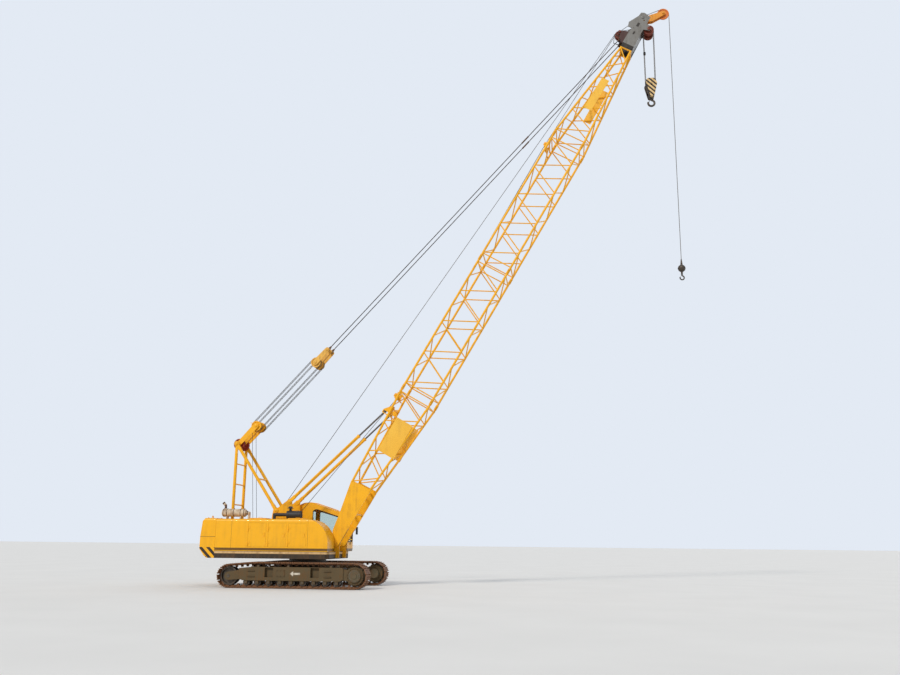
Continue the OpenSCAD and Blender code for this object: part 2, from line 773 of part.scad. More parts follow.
// Direction of the luffing ropes and pendants, from the gantry's top
anchor = [boom_x(anchor_u, anchor_v), boom_z(anchor_u, anchor_v)];
stay_d = unit(anchor - gantry_top);
stay_l = norm(anchor - gantry_top);
spreader_l = 1000;
module gantry_sheaves() {
    s_end = gantry_top + stay_d * spreader_l;
    color(yellow) placed() {
        pin_y(gantry_top[0], gantry_top[1], -web_y - 75, web_y + 75, top_shaft_r);
        for (y = [-280, -200, 200, 280])
            translate([0, y, 0]) turned(gantry_top[0], gantry_top[1]) sheave_outline(210, 30, top_shaft_r - 1);
        // Link plates with the lower spreader's sheaves
        for (y = [-380, -60, 60, 380]) slab(y, 30) link(gantry_top, s_end, 90, 110);
        pin_y(s_end[0], s_end[1], -410, 410, 45);
        for (y = [-300, -220, -140, 140, 220, 300])
            translate([0, y, 0]) turned(s_end[0], s_end[1]) sheave_outline(190, 30, 44);
    }
}

// Grooved sheave rim to hub, w half its width
module sheave_outline(r, w, bore) {
    polygon([[bore, -w], [bore + 30, -w], [bore + 30, -w / 3], [r - 45, -w / 3], [r - 30, -w],
        [r + 12, -w], [r - 8, 0], [r + 12, w], [r - 30, w], [r - 45, w / 3], [bore + 30, w / 3],
        [bore + 30, w], [bore, w]]);
}

// Cab: side outline, t in from the outside, with an arched roof
module cab_outline(t) {
    soft([[-cab_rear + t, skirt_z + fit + t], [cab_front - t, skirt_z + fit + t], [cab_front - t, 2760 - t * 0.9],
        [-230, 3270 - t * 1.1], [-cab_rear + t, 3110 - t]], [0, 60, 380, 760, 180]);
}

module cab_block(t) {
    slab((cab_right + cab_left) / 2, cab_left - cab_right - 2 * t) cab_outline(t);
}

// Side windows: large arched one in front, narrow one behind
module side_window_front(t) {
    soft([[200 + t, 1750 + t], [cab_front - 120 - t, 1750 + t], [cab_front - 120 - t, 2600 - t],
        [60 + t, 2980 - t], [-60 + t, 2900 - t], [-60 + t, 2050 + t]], [60, 60, 260, 160, 60, 60]);
}

module side_window_rear(t) {
    soft([[-560 + t, 2100 + t], [-200 - t, 2100 + t], [-200 - t, 2930 - t], [-560 + t, 2880 - t]], [50, 50, 50, 90]);
}

// Door in the left wall
door_front = 1050;
door_rear = -150;
door_low = skirt_z + 140;
module cab_door_outline(t) {
    soft([[door_rear + t, door_low + t], [door_front - t, door_low + t], [door_front - t, 2700 - t],
        [door_rear + 180, 2990 - t], [door_rear + t, 2990 - t]], [80, 80, 120, 100, 80]);
}

module door_window(t) {
    soft([[door_rear + 120 + t, 2000 + t], [door_front - 110 - t, 2000 + t], [door_front - 110 - t, 2640 - t],
        [door_rear + 200 + t, 2890 - t], [door_rear + 120 + t, 2890 - t]], [50, 50, 90, 60, 60]);
}

// Lower and upper edge of the front and rear windows
front_window_z = [skirt_z + 370, skirt_z + 1090];
rear_window = [skirt_z + 770, skirt_z + 1520];
front_half = (cab_left - cab_right) / 2 - 90;
module front_window(t) {
    translate([cab_front - cab_wall / 2, (cab_right + cab_left) / 2, 0])
        rotate([90, 0, 90]) linear_extrude(height = cab_wall + 40, center = true)
            soft([[t - front_half, front_window_z[0] + t], [front_half - t, front_window_z[0] + t],
                [front_half - t, front_window_z[1] - t], [t - front_half, front_window_z[1] - t]],
                [60, 60, 60, 60]);
}

module cab_shell() {
    color(yellow) placed() difference() {
        cab_block(0);
        cab_block(cab_wall);
        slab(cab_right, 3 * cab_wall) side_window_front(0);
        slab(cab_left, 3 * cab_wall) side_window_rear(0);
        slab(cab_left, 3 * cab_wall) cab_door_outline(0);
        front_window(0);
        // Rear window
        box([-cab_rear - 60, cab_right + 160, rear_window[0]], [-cab_rear + 100, cab_left - 160, rear_window[1]]);
    }
    color(yellow) placed() for (z = cab_knuckles)
        knuckle(door_rear + door_gap, cab_left, z - knuckle_h - fit, -1);
}

module cab_glass() {
    mid = cab_wall / 2;
    color(pane) placed() {
        slab(cab_right + mid, pane_t) side_window_front(fit);
        slab(cab_left - mid, pane_t) side_window_rear(fit);
        intersection() {
            front_window(fit);
            box([cab_front - mid - pane_t, cab_right, 1000], [cab_front - mid, cab_left, 3200]);
        }
        box([-cab_rear + mid, cab_right + 160 + fit, rear_window[0] + fit],
            [-cab_rear + mid + pane_t, cab_left - 160 - fit, rear_window[1] - fit]);
    }
}

cab_knuckles = [1750, 2650];
module cab_door() {
    color(yellow) placed() {
        difference() {
            slab(cab_left - cab_wall / 2, cab_wall) cab_door_outline(door_gap);
            slab(cab_left, 3 * cab_wall) door_window(0);
        }
        for (z = cab_knuckles) knuckle(door_rear + door_gap, cab_left, z, 1);
    }
}

module cab_door_glass() {
    color(pane) placed() slab(cab_left - cab_wall / 2, pane_t) door_window(fit);
}

module cab_seat() {
    y = (cab_right + cab_left) / 2;
    z = skirt_z + cab_wall + 2 * fit;
    color(black) placed() {
        box([-120, y - 180, z], [260, y + 180, z + 330]);
        translate([-170, 0, 0]) slab(y, 480) soft([[0, z + 330], [520, z + 330], [520, z + 450], [0, z + 450]],
            [20, 30, 50, 30]);
        slab(y, 460) soft([[-200, z + 330], [-60, z + 330], [-140, z + 1050], [-260, z + 1050]],
            [30, 20, 50, 50]);
        for (s = [-1, 1]) {
            box([-60, y + s * 330 - 70, z], [480, y + s * 330 + 70, z + 560]);
            bar([380, y + s * 330, z + 550], [430, y + s * 330, z + 760], 14);
            translate([430, y + s * 330, z + 770]) sphere(r = 28);
        }
    }
}

module air_cleaner() {
    y = -900;
    z = roof_z + fit;
    color(black) placed() {
        translate([-640, y, z + 180]) rotate([0, 90, 0]) cylinder(h = 560, r = 150);
        for (x = [-520, -220]) box([x - 25, y - 110, z], [x + 25, y + 110, z + 60]);
        translate([-520, y, z + 300]) cylinder(h = 120, r = 45);
        translate([-520, y, z + 420]) cylinder(h = 70, r1 = 120, r2 = 60);
        bar([-640, y, z + 180], [-1150, y, z + 180], 60);
        bar([-1150, y, z + 230], [-1150, y, z], 60);
    }
}

// Muffler lying on the roof: from rear to front, radius, height over the roof
muffler_x = [-3200, -2250];
muffler_r = 150;
muffler_h = 240;
module muffler() {
    y = -1000;
    z = roof_z + fit;
    c = z + muffler_h;
    color(grey) placed() {
        translate([0, y, c]) rotate([0, 90, 0]) rotate_extrude() polygon([[0, muffler_x[0]],
            [muffler_r - 30, muffler_x[0]], [muffler_r, muffler_x[0] + 40], [muffler_r, muffler_x[1] - 40],
            [muffler_r - 30, muffler_x[1]], [0, muffler_x[1]]]);
        for (x = [-3000, -2450]) box([x - 25, y - 90, z], [x + 25, y + 90, z + 130]);
        // Stack with its rain cap, and the inlet's elbow down to the roof
        bar([muffler_x[0] + 110, y, c + muffler_r - 20], [muffler_x[0] + 110, y, c + muffler_r + 170], 38);
        bar([muffler_x[0] + 85, y, c + muffler_r + 150], [muffler_x[0] + 10, y, c + muffler_r + 230], 50);
        bar([muffler_x[1] - 20, y, c], [muffler_x[1] + 120, y, c], 52);
        translate([muffler_x[1] + 120, y, c]) sphere(r = 52);
        bar([muffler_x[1] + 120, y, c], [muffler_x[1] + 120, y, z], 52);
    }
}

module mirrors() {
    color(black) placed() {
        bar([cab_front + 15, cab_left - 60, 2150], [cab_front + 130, cab_left + 120, 2200], 12);
        translate([cab_front + 130, cab_left + 120, 2000]) linear_extrude(height = 300)
            soft([[-30, -90], [30, -90], [30, 90], [-30, 90]], [20, 20, 20, 20]);
        // Grab rail beside the door
        bar([1180, cab_left + 60, 1650], [1180, cab_left + 60, 2350], 14);
        for (z = [1680, 2320]) bar([1180, cab_left + fit, z], [1180, cab_left + 60, z], 12);
        bar([cab_front + fit, cab_left - 60, 2150], [cab_front + 20, cab_left - 60, 2150], 25);
    }
}

// Backstops: tubes hinged on the brackets, rods with a cross pin in slotted ears
eye = [boom_x(eye_u, eye_v), boom_z(eye_u, eye_v)];
stop_d = unit(eye - stop_foot);
stop_l = norm(eye - stop_foot);
stop_tube_l = 3730;
stop_tube_r = 60;
stop_rod_l = 3800;
stop_rod_r = 34;
stop_pin_r = 25;
module backstop_tubes() {
    color(yellow) placed() difference() {
        for (s = [-1, 1]) {
            fork(stop_foot, eye, s * web_y, stop_tube_r, eye_r);
            tube_y(stop_foot + stop_d * (fork_l - 60), stop_foot + stop_d * stop_tube_l, s * web_y, stop_tube_r);
        }
        for (s = [-1, 1])
            tube_y(stop_foot + stop_d * 400, stop_foot + stop_d * (stop_tube_l + 10), s * web_y, stop_rod_r + 4);
    }
}

module backstop_rods() {
    color(steel) placed() for (s = [-1, 1]) {
        tube_y(stop_foot + stop_d * (stop_l - stop_rod_l), eye, s * web_y, stop_rod_r);
        slab(s * web_y, 50) translate(eye) circle(r = 62);
        pin_y(eye[0], eye[1], s * web_y - 68, s * web_y + 68, stop_pin_r);
    }
}

// Boom, drawn along X with its back towards +Z, then raised
module raised() {
    placed() translate([foot_x, 0, foot_z]) rotate([0, -boom_angle, 0]) children();
}

// Chord centre at a station s: along, half depth, half width and middle line;
// c is the side, b is 1 at the back and -1 at the belly
function chord_at(s, c, b) = [s[0], c * s[2], s[3] + b * s[1]];

// Bracing tube whose ends stop inside the chords' walls
brace_in = 34;
module brace(p, q) {
    d = unit(q - p);
    a = p + d * brace_in;
    h = norm(q - p) - 2 * brace_in;
    translate(a) rotate([0, acos(d[2]), atan2(d[1], d[0])]) cylinder(h = h, r = brace_r, $fn = 8);
}

// The four chords from station a to station b
module chords(a, b) {
    for (c = [-1, 1], k = [-1, 1])
        bar(chord_at(a, c, k), chord_at(b, c, k), chord_r, atan2(c, -k));
}

// Bracing between a first and a last frame, in n bays; node_l keeps two braces
// that meet at a chord apart
node_l = 32;
function mix(a, b, t) = a + (b - a) * t;
module lattice(a, b, n, flip) {
    along = b[0] - a[0];
    e = node_l / along;
    for (i = [0 : n - 1]) {
        s0 = mix(a, b, i / n + e);
        s1 = mix(a, b, (i + 0.5) / n - e);
        s2 = mix(a, b, (i + 0.5) / n + e);
        s3 = mix(a, b, (i + 1) / n - e);
        // Side faces: zigzag between back and belly
        for (c = [-1, 1]) {
            brace(chord_at(s0, c, 1), chord_at(s1, c, -1));
            brace(chord_at(s2, c, -1), chord_at(s3, c, 1));
        }
        // Back and belly faces: zigzag between left and right
        for (k = [-1, 1]) {
            brace(chord_at(s0, flip * k, k), chord_at(s1, -flip * k, k));
            brace(chord_at(s2, -flip * k, k), chord_at(s3, flip * k, k));
        }
    }
}

// End frame of a section, struts all round
module end_frame(s) {
    for (c = [-1, 1]) brace(chord_at(s, c, 1), chord_at(s, c, -1));
    for (k = [-1, 1]) brace(chord_at(s, 1, k), chord_at(s, -1, k));
}

// Straight chord ends from s to the joint at u, with the round sleeves where
// two sections are pinned together
sleeve_l = 110;
module chord_ends(s, u) {
    dir = sign(u - s[0]);
    for (c = [-1, 1], k = [-1, 1]) {
        p = chord_at(station(u), c, k);
        bar(chord_at(s, c, k), p - [dir * sleeve_l / 2, 0, 0], chord_r, atan2(dir * c, -k));
        bar(p - [dir * sleeve_l, 0, 0], p, chord_r + 14, atan2(dir * c, -k));
    }
}

end_l = (insert_l - bay_n * bay_l) / 2;
half_d = chord_d / 2;
half_w = chord_w / 2;
joint_gap = 1;
base_start = 2300;
plate_half = 600;
base_root = [base_start, 390, plate_half, 290];

function station(u) = [u, half_d, half_w, foot_off];

// Collars where straight and tapering chords meet, which end bend_gap from the
// bend inside them
bend_gap = 4;
function short_of(a, b) = mix(a, b, 1 - bend_gap / abs(b[0] - a[0]));
module collars(u) {
    for (c = [-1, 1], k = [-1, 1])
        bar(chord_at(station(u - 35), c, k), chord_at(station(u + 35), c, k), chord_r + 8, atan2(c, -k));
}

module boom_base() {
    e = station(base_l - end_l);
    color(yellow) raised() difference() {
        union() {
            lattice(base_root, e, 3, 1);
            chords(base_root, short_of(base_root, e));
            chord_ends(station(e[0] + bend_gap), base_l - joint_gap / 2);
            collars(e[0]);
            end_frame(e);
            // Plated foot
            for (s = [-1, 1]) {
                slab(s * (plate_half + 5), 40) {
                    circle(r = 140);
                    polygon([[-40, 130], [-40, -134], [base_start, -150], [base_start + 90, -130],
                        [base_start + 50, 720], [base_start - 20, 720], [1080, 480], [320, 350]]);
                }
                slab(s * (web_y - web_t / 2 - 30), 36) {
                    circle(r = 140);
                    polygon([[-40, 130], [-40, -134], [700, -140], [700, 380]]);
                }
                box([560, s > 0 ? 500 : -620, -130], [620, s > 0 ? 620 : -500, 380]);
            }
            for (p = [[1300, -60], [1300, 430], [2200, 40], [2200, 540]])
                pin_y(p[0], p[1], -plate_half, plate_half, 40);
            for (s = [-1, 1]) pin_y(0, 0, s > 0 ? 490 : -635, s > 0 ? 635 : -490, foot_pin_r);
            // Ears of the backstops on a cross tube
            pin_y(eye_u + 240, 800, -half_w + 40, half_w - 40, 36);
            for (y = [-web_y - 50, -web_y + 50, web_y - 50, web_y + 50]) slab(y, 26)
                polygon([[eye_u - 100, 740], [eye_u + 330, 740], [eye_u + 330, 860], [eye_u + 60, 1090],
                    [eye_u - 80, 1090]]);
        }
        // Slots for the rods' cross pins
        for (s = [-1, 1]) slab(s * web_y, 136) stop_slot();
    }
}

module stop_slot() {
    link([eye_u - 10, eye_v + 18], [eye_u - 10, eye_v - 200], 43, 43);
}

module boom_insert(i) {
    u0 = base_l + i * insert_l + joint_gap / 2;
    u1 = base_l + (i + 1) * insert_l - joint_gap / 2;
    a = station(u0 + end_l);
    b = station(u1 - end_l);
    color(yellow) raised() {
        lattice(a, b, bay_n, i == 0 ? 1 : -1);
        chords(a, b);
        chord_ends(a, u0);
        chord_ends(b, u1);
        end_frame(a);
        end_frame(b);
    }
}

top_end = [head_root, 220, 330, 110];
module boom_top() {
    e = station(top_start + end_l);
    color(yellow) raised() {
        chord_ends(station(e[0] - bend_gap), top_start + joint_gap / 2);
        collars(e[0]);
        end_frame(e);
        difference() {
            union() {
                lattice(e, top_end, 4, 1);
                chords(short_of(top_end, e), top_end);
            }
            box([top_end[0], -1000, -1000], [top_end[0] + 100, 1000, 1000]);
        }
        head_flange(-25, 0);
    }
}

// Bolted frame between top section and head, from u0 to u1 past the joint
module head_flange(u0, u1) {
    w = top_end[2] + chord_r;
    h = top_end[1] + chord_r;
    translate([top_end[0], 0, top_end[3]]) difference() {
        box([u0, -w, -h], [u1, w, h]);
        box([u0 - 1, -w + 2 * chord_r, -h + 2 * chord_r], [u1 + 1, w - 2 * chord_r, h - 2 * chord_r]);
    }
}

// Head: a box of two plates in line with the boom, lugs down to the sheaves'
// shaft, a raised back plate with the guide sheaves and the pendants' anchor
head_y = 330;
head_t = 30;
anchor_r = 35;
belly_v = head_v + 190;
module boom_head() {
    u = head_root;
    color(dark_green) raised() difference() {
        union() {
            head_flange(fit, 25);
            both() slab(head_y, head_t) {
                polygon([[u + fit, top_end[3] - 260], [head_u - 330, belly_v], [head_u + 500, belly_v],
                    [head_u + 580, head_v + 500], [head_u + 520, head_v + 650], [u + fit, top_end[3] + 260]]);
                // Lug of the sheaves' shaft
                polygon([[head_u - 150, belly_v + 20], [head_u - 80, head_v - 40], [head_u + 80, head_v - 40],
                    [head_u + 190, belly_v + 20]]);
                translate([head_u, head_v]) circle(r = 90);
                // Raised back plate, and stand of the guide sheaves with the anchor
                polygon([[head_u - 290, head_v + 600], [head_u + 460, head_v + 600], [head_u - 90, head_v + 900],
                    [head_u - 290, head_v + 840]]);
                polygon([[u + 150, top_end[3] + 240], [anchor_u + 330, top_end[3] + 260], [anchor_u + 260, anchor_v + 90],
                    [anchor_u - 80, anchor_v + 90]]);
                link([guide_u - 40, guide_v - 250], [guide_u, guide_v], 110, 70);
            }
            // Closed belly, back sheet and cross tubes
            box([u + 20, -head_y, belly_v], [head_u - 330, head_y, belly_v + 20]);
            box([head_u - 130, -head_y, head_v + 640], [head_u + 420, head_y, head_v + 665]);
            for (p = [[u + 60, top_end[3] + 190], [head_u + 100, head_v + 480]])
                pin_y(p[0], p[1], -head_y, head_y, 50);
            pin_y(anchor_u, anchor_v, -head_y, head_y, anchor_r);
        }
        pin_y(head_u, head_v, -head_y - 50, head_y + 50, 55 + fit);
        pin_y(guide_u, guide_v, -head_y - 50, head_y + 50, 40 + fit);
        pin_y(jib_u, jib_v, -head_y - 50, head_y + 50, jib_r);
        pin_y(arm_u, arm_v, -head_y - 50, head_y + 50, arm_r + fit);
    }
}
jib_u = head_u + 250;
jib_v = head_v + 360;
jib_r = 30;

// Arm of the auxiliary sheave: two cheeks on a cross tube through the head
arm_u = head_u + 360;
arm_v = head_v + 480;
arm_r = 55;
arm_y = 90;
arm_t = 36;
module rooster_arm() {
    color("#e08a1e") raised() difference() {
        union() {
            pin_y(arm_u, arm_v, -head_y - 30, head_y + 30, arm_r);
            both() slab(arm_y, arm_t) {
                link([arm_u, arm_v], [head_u + 620, head_v + 200], 95, 150);
                link([head_u + 620, head_v + 200], [rooster_u, rooster_v], 150, 95);
            }
            box([head_u + 570, -arm_y, head_v + 60], [head_u + 670, arm_y, head_v + 340]);
        }
        pin_y(rooster_u, rooster_v, -head_y, head_y, 40 + fit);
    }
}

module head_sheaves() {
    color(steel) raised() {
        pin_y(head_u, head_v, -head_y - 40, head_y + 40, 55);
        for (y = [-210, -130, 130, 210])
            translate([0, y, 0]) turned(head_u, head_v) sheave_outline(sheave_r, 34, 54);
        pin_y(guide_u, guide_v, -head_y - 40, head_y + 40, 40);
        for (y = [-60, 60])
            translate([0, y, 0]) turned(guide_u, guide_v) sheave_outline(170, 34, 39);
    }
}

module rooster_sheave() {
    color("#c8641e") raised() {
        pin_y(rooster_u, rooster_v, -arm_y - 50, arm_y + 50, 40);
        turned(rooster_u, rooster_v) sheave_outline(rooster_r, 34, 39);
    }
}

// Rollers that keep the hoist ropes off the boom's back
module rope_guides() {
    color(yellow) raised() for (u = [base_l - 420, top_start - 420]) {
        for (y = [-260, 260]) slab(y, 24)
            polygon([[u - 160, foot_off + half_d + chord_r + 5], [u + 160, foot_off + half_d + chord_r + 5],
                [u + 60, foot_off + half_d + 260], [u - 60, foot_off + half_d + 260]]);
        for (x = [-120, 120]) box([u + x - 20, -half_w, foot_off + half_d + chord_r + fit],
            [u + x + 20, half_w, foot_off + half_d + chord_r + 40]);
        pin_y(u, foot_off + half_d + 210, -250, 250, 44);
    }
}

// Half width of the boom over its chords
function half_at(u) = chord_r + (u < base_l - end_l
    ? plate_half + (half_w - plate_half) * (u - base_start) / (base_l - end_l - base_start)
    : u < top_start + end_l ? half_w
    : half_w + (top_end[2] - half_w) * (u - top_start - end_l) / (top_end[0] - top_start - end_l));

// Blank boards on the boom's sides: start, end, lower and upper edge
boards = [[base_l - 2640, base_l - 1160, -300, 430], [top_start + 1600, top_start + 3200, -10, 330]];
board_t = 6;
module sign_boards() {
    color("#f0c020") raised() for (b = boards) both()
        translate([b[0], half_at(b[0]) + fit, 0])
            rotate([0, 0, atan2(half_at(b[1]) - half_at(b[0]), b[1] - b[0])])
                translate([-b[0], board_t / 2, 0]) slab(0, board_t)
                    polygon([[b[0], b[2]], [b[1], b[2]], [b[1], b[3]], [b[0], b[3]]]);
}

// Pendants from the floating bridle to the boom head, with an eye at each end
bridle_s = 5000;
bridle_pin_r = 45;
pendant_y = 250;
pendant_r = 16;
function on_stay(s) = gantry_top + stay_d * s;
module pendants() {
    low = on_stay(bridle_s + 200);
    top = on_stay(stay_l);
    color(steel) placed() both() difference() {
        union() {
            tube_y(low, top, pendant_y, pendant_r);
            slab(pendant_y, 44) {
                link(low, on_stay(bridle_s + 380), bridle_pin_r + 22, 24);
                link(top, on_stay(stay_l - 180), anchor_r + 22, 24);
            }
            // Sockets where two lengths of pendant meet
            tube_y(on_stay(17050), on_stay(17450), pendant_y, 30);
        }
        pin_y(low[0], low[1], pendant_y - 50, pendant_y + 50, bridle_pin_r + fit);
        pin_y(top[0], top[1], pendant_y - 50, pendant_y + 50, anchor_r + fit);
    }
}

module bridle() {
    color(yellow) placed() {
        for (y = [-380, -60, 60, 380]) slab(y, 30) link(on_stay(bridle_s - 500), on_stay(bridle_s + 200), 110, 90);
        for (s = [-500, 200])
            pin_y(on_stay(bridle_s + s)[0], on_stay(bridle_s + s)[1], -410, 410, bridle_pin_r);
        for (y = [-300, -220, -140, 140, 220, 300])
            translate([0, y, 0]) turned(on_stay(bridle_s - 500)[0], on_stay(bridle_s - 500)[1])
                sheave_outline(190, 30, 44);
    }
}

// Hooks hang below the head sheaves
head = [boom_x(head_u, head_v), boom_z(head_u, head_v)];
rooster = [boom_x(rooster_u, rooster_v), boom_z(rooster_u, rooster_v)];
block = [head[0], head[1] - block_drop];
// Falls run from the head sheaves' grooves to those of the block
fall_x = sheave_r + rope_r + fit;
// Cheeks of the block: half width, and reach below the sheaves' shaft
cheek_w = 255;
cheek_low = 560;
module hook_block() {
    color(yellow) placed() {
        for (y = [-130, 130], s = [-1, 1])
            bar([head[0] + s * sheave_r, y, block[1]], [head[0] + s * fall_x, y, head[1]], rope_r);
        for (y = [-130, 130])
            translate([0, y, 0]) turned(block[0], block[1]) sheave_outline(sheave_r, 34, 44);
        pin_y(block[0], block[1], -215, 215, 45);
        for (y = [-190, 190]) slab(y, 40)
            soft([block + [-cheek_w, 20], block + [-110, -cheek_low], block + [110, -cheek_low], block + [cheek_w, 20],
                block + [160, cheek_w], block + [-160, cheek_w]], [150, 60, 60, 150, 120, 120]);
        for (x = [-130, 130]) box([block[0] + x - 25, -171, block[1] - 330], [block[0] + x + 25, 171, block[1] - 255]);
        box([block[0] - 95, -171, block[1] - 540], [block[0] + 95, 171, block[1] - 400]);
    }
}

hook_r = 130;
hook_wire = 42;
module hook(p, r, w) {
    // Shank, then the bowl round to the tip
    translate([p[0], 0, p[1] - 40]) cylinder(h = 90, r = w);
    bar([p[0], 0, p[1]], [p[0], 0, p[1] - 2 * w], w);
    translate([p[0], 0, p[1] - 2 * w - r]) rotate([90, 0, 0]) rotate([0, 0, 90])
        rotate_extrude(angle = -290) translate([r, 0]) circle(r = w);
}

module main_hook() {
    color(steel) placed() hook([block[0], block[1] - 590], hook_r, hook_wire);
}

aux_x = rooster[0] + rooster_r + rope_r + fit;
ball = [aux_x, rooster[1] - ball_drop];
module aux_hook() {
    color(steel) placed() {
        bar([aux_x, 0, ball[1]], [aux_x, 0, rooster[1]], rope_r);
        translate([aux_x, 0, ball[1]]) sphere(r = ball_r);
        translate([aux_x, 0, ball[1] - 220]) cylinder(h = 120, r = 40);
        hook([aux_x, ball[1] - 260], 80, 26);
    }
}

carbody();
slew_ring();
track_frame(-1);  // track_frame_r
track_frame(1);  // track_frame_l
track(-1);  // track_r
track(1);  // track_l
rollers(-1);  // rollers_r
rollers(1);  // rollers_l
sprocket(-1);  // sprocket_r
sprocket(1);  // sprocket_l
idler(-1);  // idler_r
idler(1);  // idler_l
upper_frame();
house_right();
house_left();
counterweight_lower();
counterweight_upper();
engine();
hoist_winches();
luffing_winch();
gantry_front_legs();
gantry_mast();
gantry_sheaves();
cab_shell();
cab_glass();
cab_seat();
cab_door();
cab_door_glass();
air_cleaner();
muffler();
mirrors();
door(doors_right[0], -1);  // door_right_1
door(doors_right[1], -1);  // door_right_2
door(doors_right[2], -1);  // door_right_3
door(doors_left[0], 1);  // door_left_1
door(doors_left[1], 1);  // door_left_2
backstop_tubes();
backstop_rods();
boom_base();
boom_insert(0);  // boom_insert_1
boom_insert(1);  // boom_insert_2
boom_top();
boom_head();
head_sheaves();
rooster_arm();
rooster_sheave();
rope_guides();
sign_boards();
pendants();
bridle();
hook_block();
main_hook();
aux_hook();
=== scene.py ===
from math import acos, atan2, cos, pi, radians, sin, sqrt

import bmesh
import bpy
from mathutils import Matrix, Vector


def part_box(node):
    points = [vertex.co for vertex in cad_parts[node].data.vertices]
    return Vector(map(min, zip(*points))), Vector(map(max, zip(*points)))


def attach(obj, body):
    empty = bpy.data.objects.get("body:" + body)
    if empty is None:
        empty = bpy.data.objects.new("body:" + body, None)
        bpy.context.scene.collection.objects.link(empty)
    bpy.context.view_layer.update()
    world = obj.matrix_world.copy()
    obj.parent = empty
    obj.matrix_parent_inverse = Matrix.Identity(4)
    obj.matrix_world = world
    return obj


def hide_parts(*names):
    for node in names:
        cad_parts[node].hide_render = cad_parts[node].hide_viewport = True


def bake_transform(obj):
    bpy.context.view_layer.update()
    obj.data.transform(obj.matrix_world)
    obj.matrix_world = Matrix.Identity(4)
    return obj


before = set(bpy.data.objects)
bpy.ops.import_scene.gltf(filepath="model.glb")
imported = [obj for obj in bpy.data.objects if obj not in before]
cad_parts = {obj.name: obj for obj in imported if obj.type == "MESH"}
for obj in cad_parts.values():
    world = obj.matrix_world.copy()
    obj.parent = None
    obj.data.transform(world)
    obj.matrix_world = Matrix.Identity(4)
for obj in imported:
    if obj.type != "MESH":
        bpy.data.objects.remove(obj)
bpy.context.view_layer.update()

# Photographer's place
# The picture was taken from about eye height, some 35 m to the right of the
# crane and a little ahead of it, looking up at the boom head.
ring_low, ring_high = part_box("slew_ring")
slew = (ring_low.x + ring_high.x) / 2


def at(x, y, z):
    """A point whose x is measured from the slewing axis."""
    return slew + x, y, z


yaw, pitch, roll = radians(-7.27), radians(12.97), radians(0.58)
ahead = Vector((sin(yaw) * cos(pitch), cos(yaw) * cos(pitch), sin(pitch)))
level = Vector((cos(yaw), -sin(yaw), 0))
upright = level.cross(ahead)
right = level * cos(roll) + upright * sin(roll)
upward = -level * sin(roll) + upright * cos(roll)
photo_lens = bpy.data.cameras.new("camera")
photo_lens.sensor_width = 36
photo_lens.lens = 35.66
photo_lens.clip_end = 2000
camera = bpy.data.objects.new("camera", photo_lens)
bpy.context.collection.objects.link(camera)
stand = Matrix((right, upward, -ahead)).transposed().to_4x4()
stand.translation = at(9.993, -35.011, 1.704)
camera.matrix_world = stand
bpy.context.scene.camera = camera


# Yard floor and open sky
# A pale concrete yard under an even pale sky, lit by a low soft sun on the
# side of the crane that the photograph shows.
def rgb(code):
    """Linear colour of a six-digit paint code."""
    parts = [int(code[i:i + 2], 16) / 255 for i in (1, 3, 5)]
    line = [c / 12.92 if c <= 0.04045 else ((c + 0.055) / 1.055) ** 2.4 for c in parts]
    return (*line, 1.0)


def new_material(name):
    """A material, its node tree and its shader."""
    material = bpy.data.materials.new(name)
    material.use_nodes = True
    return material, material.node_tree, material.node_tree.nodes["Principled BSDF"]


def feed(node, *feeds):
    """Feeds a node's inputs by name, each from a socket or with a plain value."""
    for name, source in feeds:
        if isinstance(source, bpy.types.NodeSocket):
            node.id_data.links.new(source, node.inputs[name])
        else:
            node.inputs[name].default_value = source


def wired(tree, kind, *feeds, **settings):
    """A new node with its settings and its feeds."""
    node = tree.nodes.new(kind)
    for key, value in settings.items():
        setattr(node, key, value)
    feed(node, *feeds)
    return node


def mixed(share, first, second):
    """First colour where share is 0, second where it is 1."""
    feeds = ("Factor", share), ("A", first), ("B", second)
    return wired(share.id_data, "ShaderNodeMix", *feeds, data_type="RGBA").outputs["Result"]


def maths(kind, *values):
    """A math node on sockets and numbers, in the tree of the sockets."""
    tree = next(value.id_data for value in values if isinstance(value, bpy.types.NodeSocket))
    return wired(tree, "ShaderNodeMath", *enumerate(values), operation=kind).outputs[0]


def place_in(tree):
    """The place on the object, in metres."""
    return wired(tree, "ShaderNodeTexCoord").outputs["Object"]


def noise(spot, scale, detail, rough=0.5):
    feeds = ("Vector", spot), ("Scale", scale), ("Detail", detail), ("Roughness", rough)
    return wired(spot.id_data, "ShaderNodeTexNoise", *feeds).outputs["Fac"]


def deselect():
    if bpy.context.mode != "OBJECT":
        bpy.ops.object.mode_set(mode="OBJECT")
    bpy.ops.object.select_all(action="DESELECT")


deselect()
bpy.ops.mesh.primitive_grid_add(x_subdivisions=4, y_subdivisions=4, size=900)
yard = bpy.context.object
yard.name = "yard_floor"
concrete, tree, shader = new_material("yard_concrete")
cloudy = noise(place_in(tree), 0.35, 6.0)
feed(shader, ("Base Color", mixed(cloudy, rgb("#dfddd9"), rgb("#e9e7e3"))), ("Roughness", 0.9))
yard.data.materials.append(concrete)

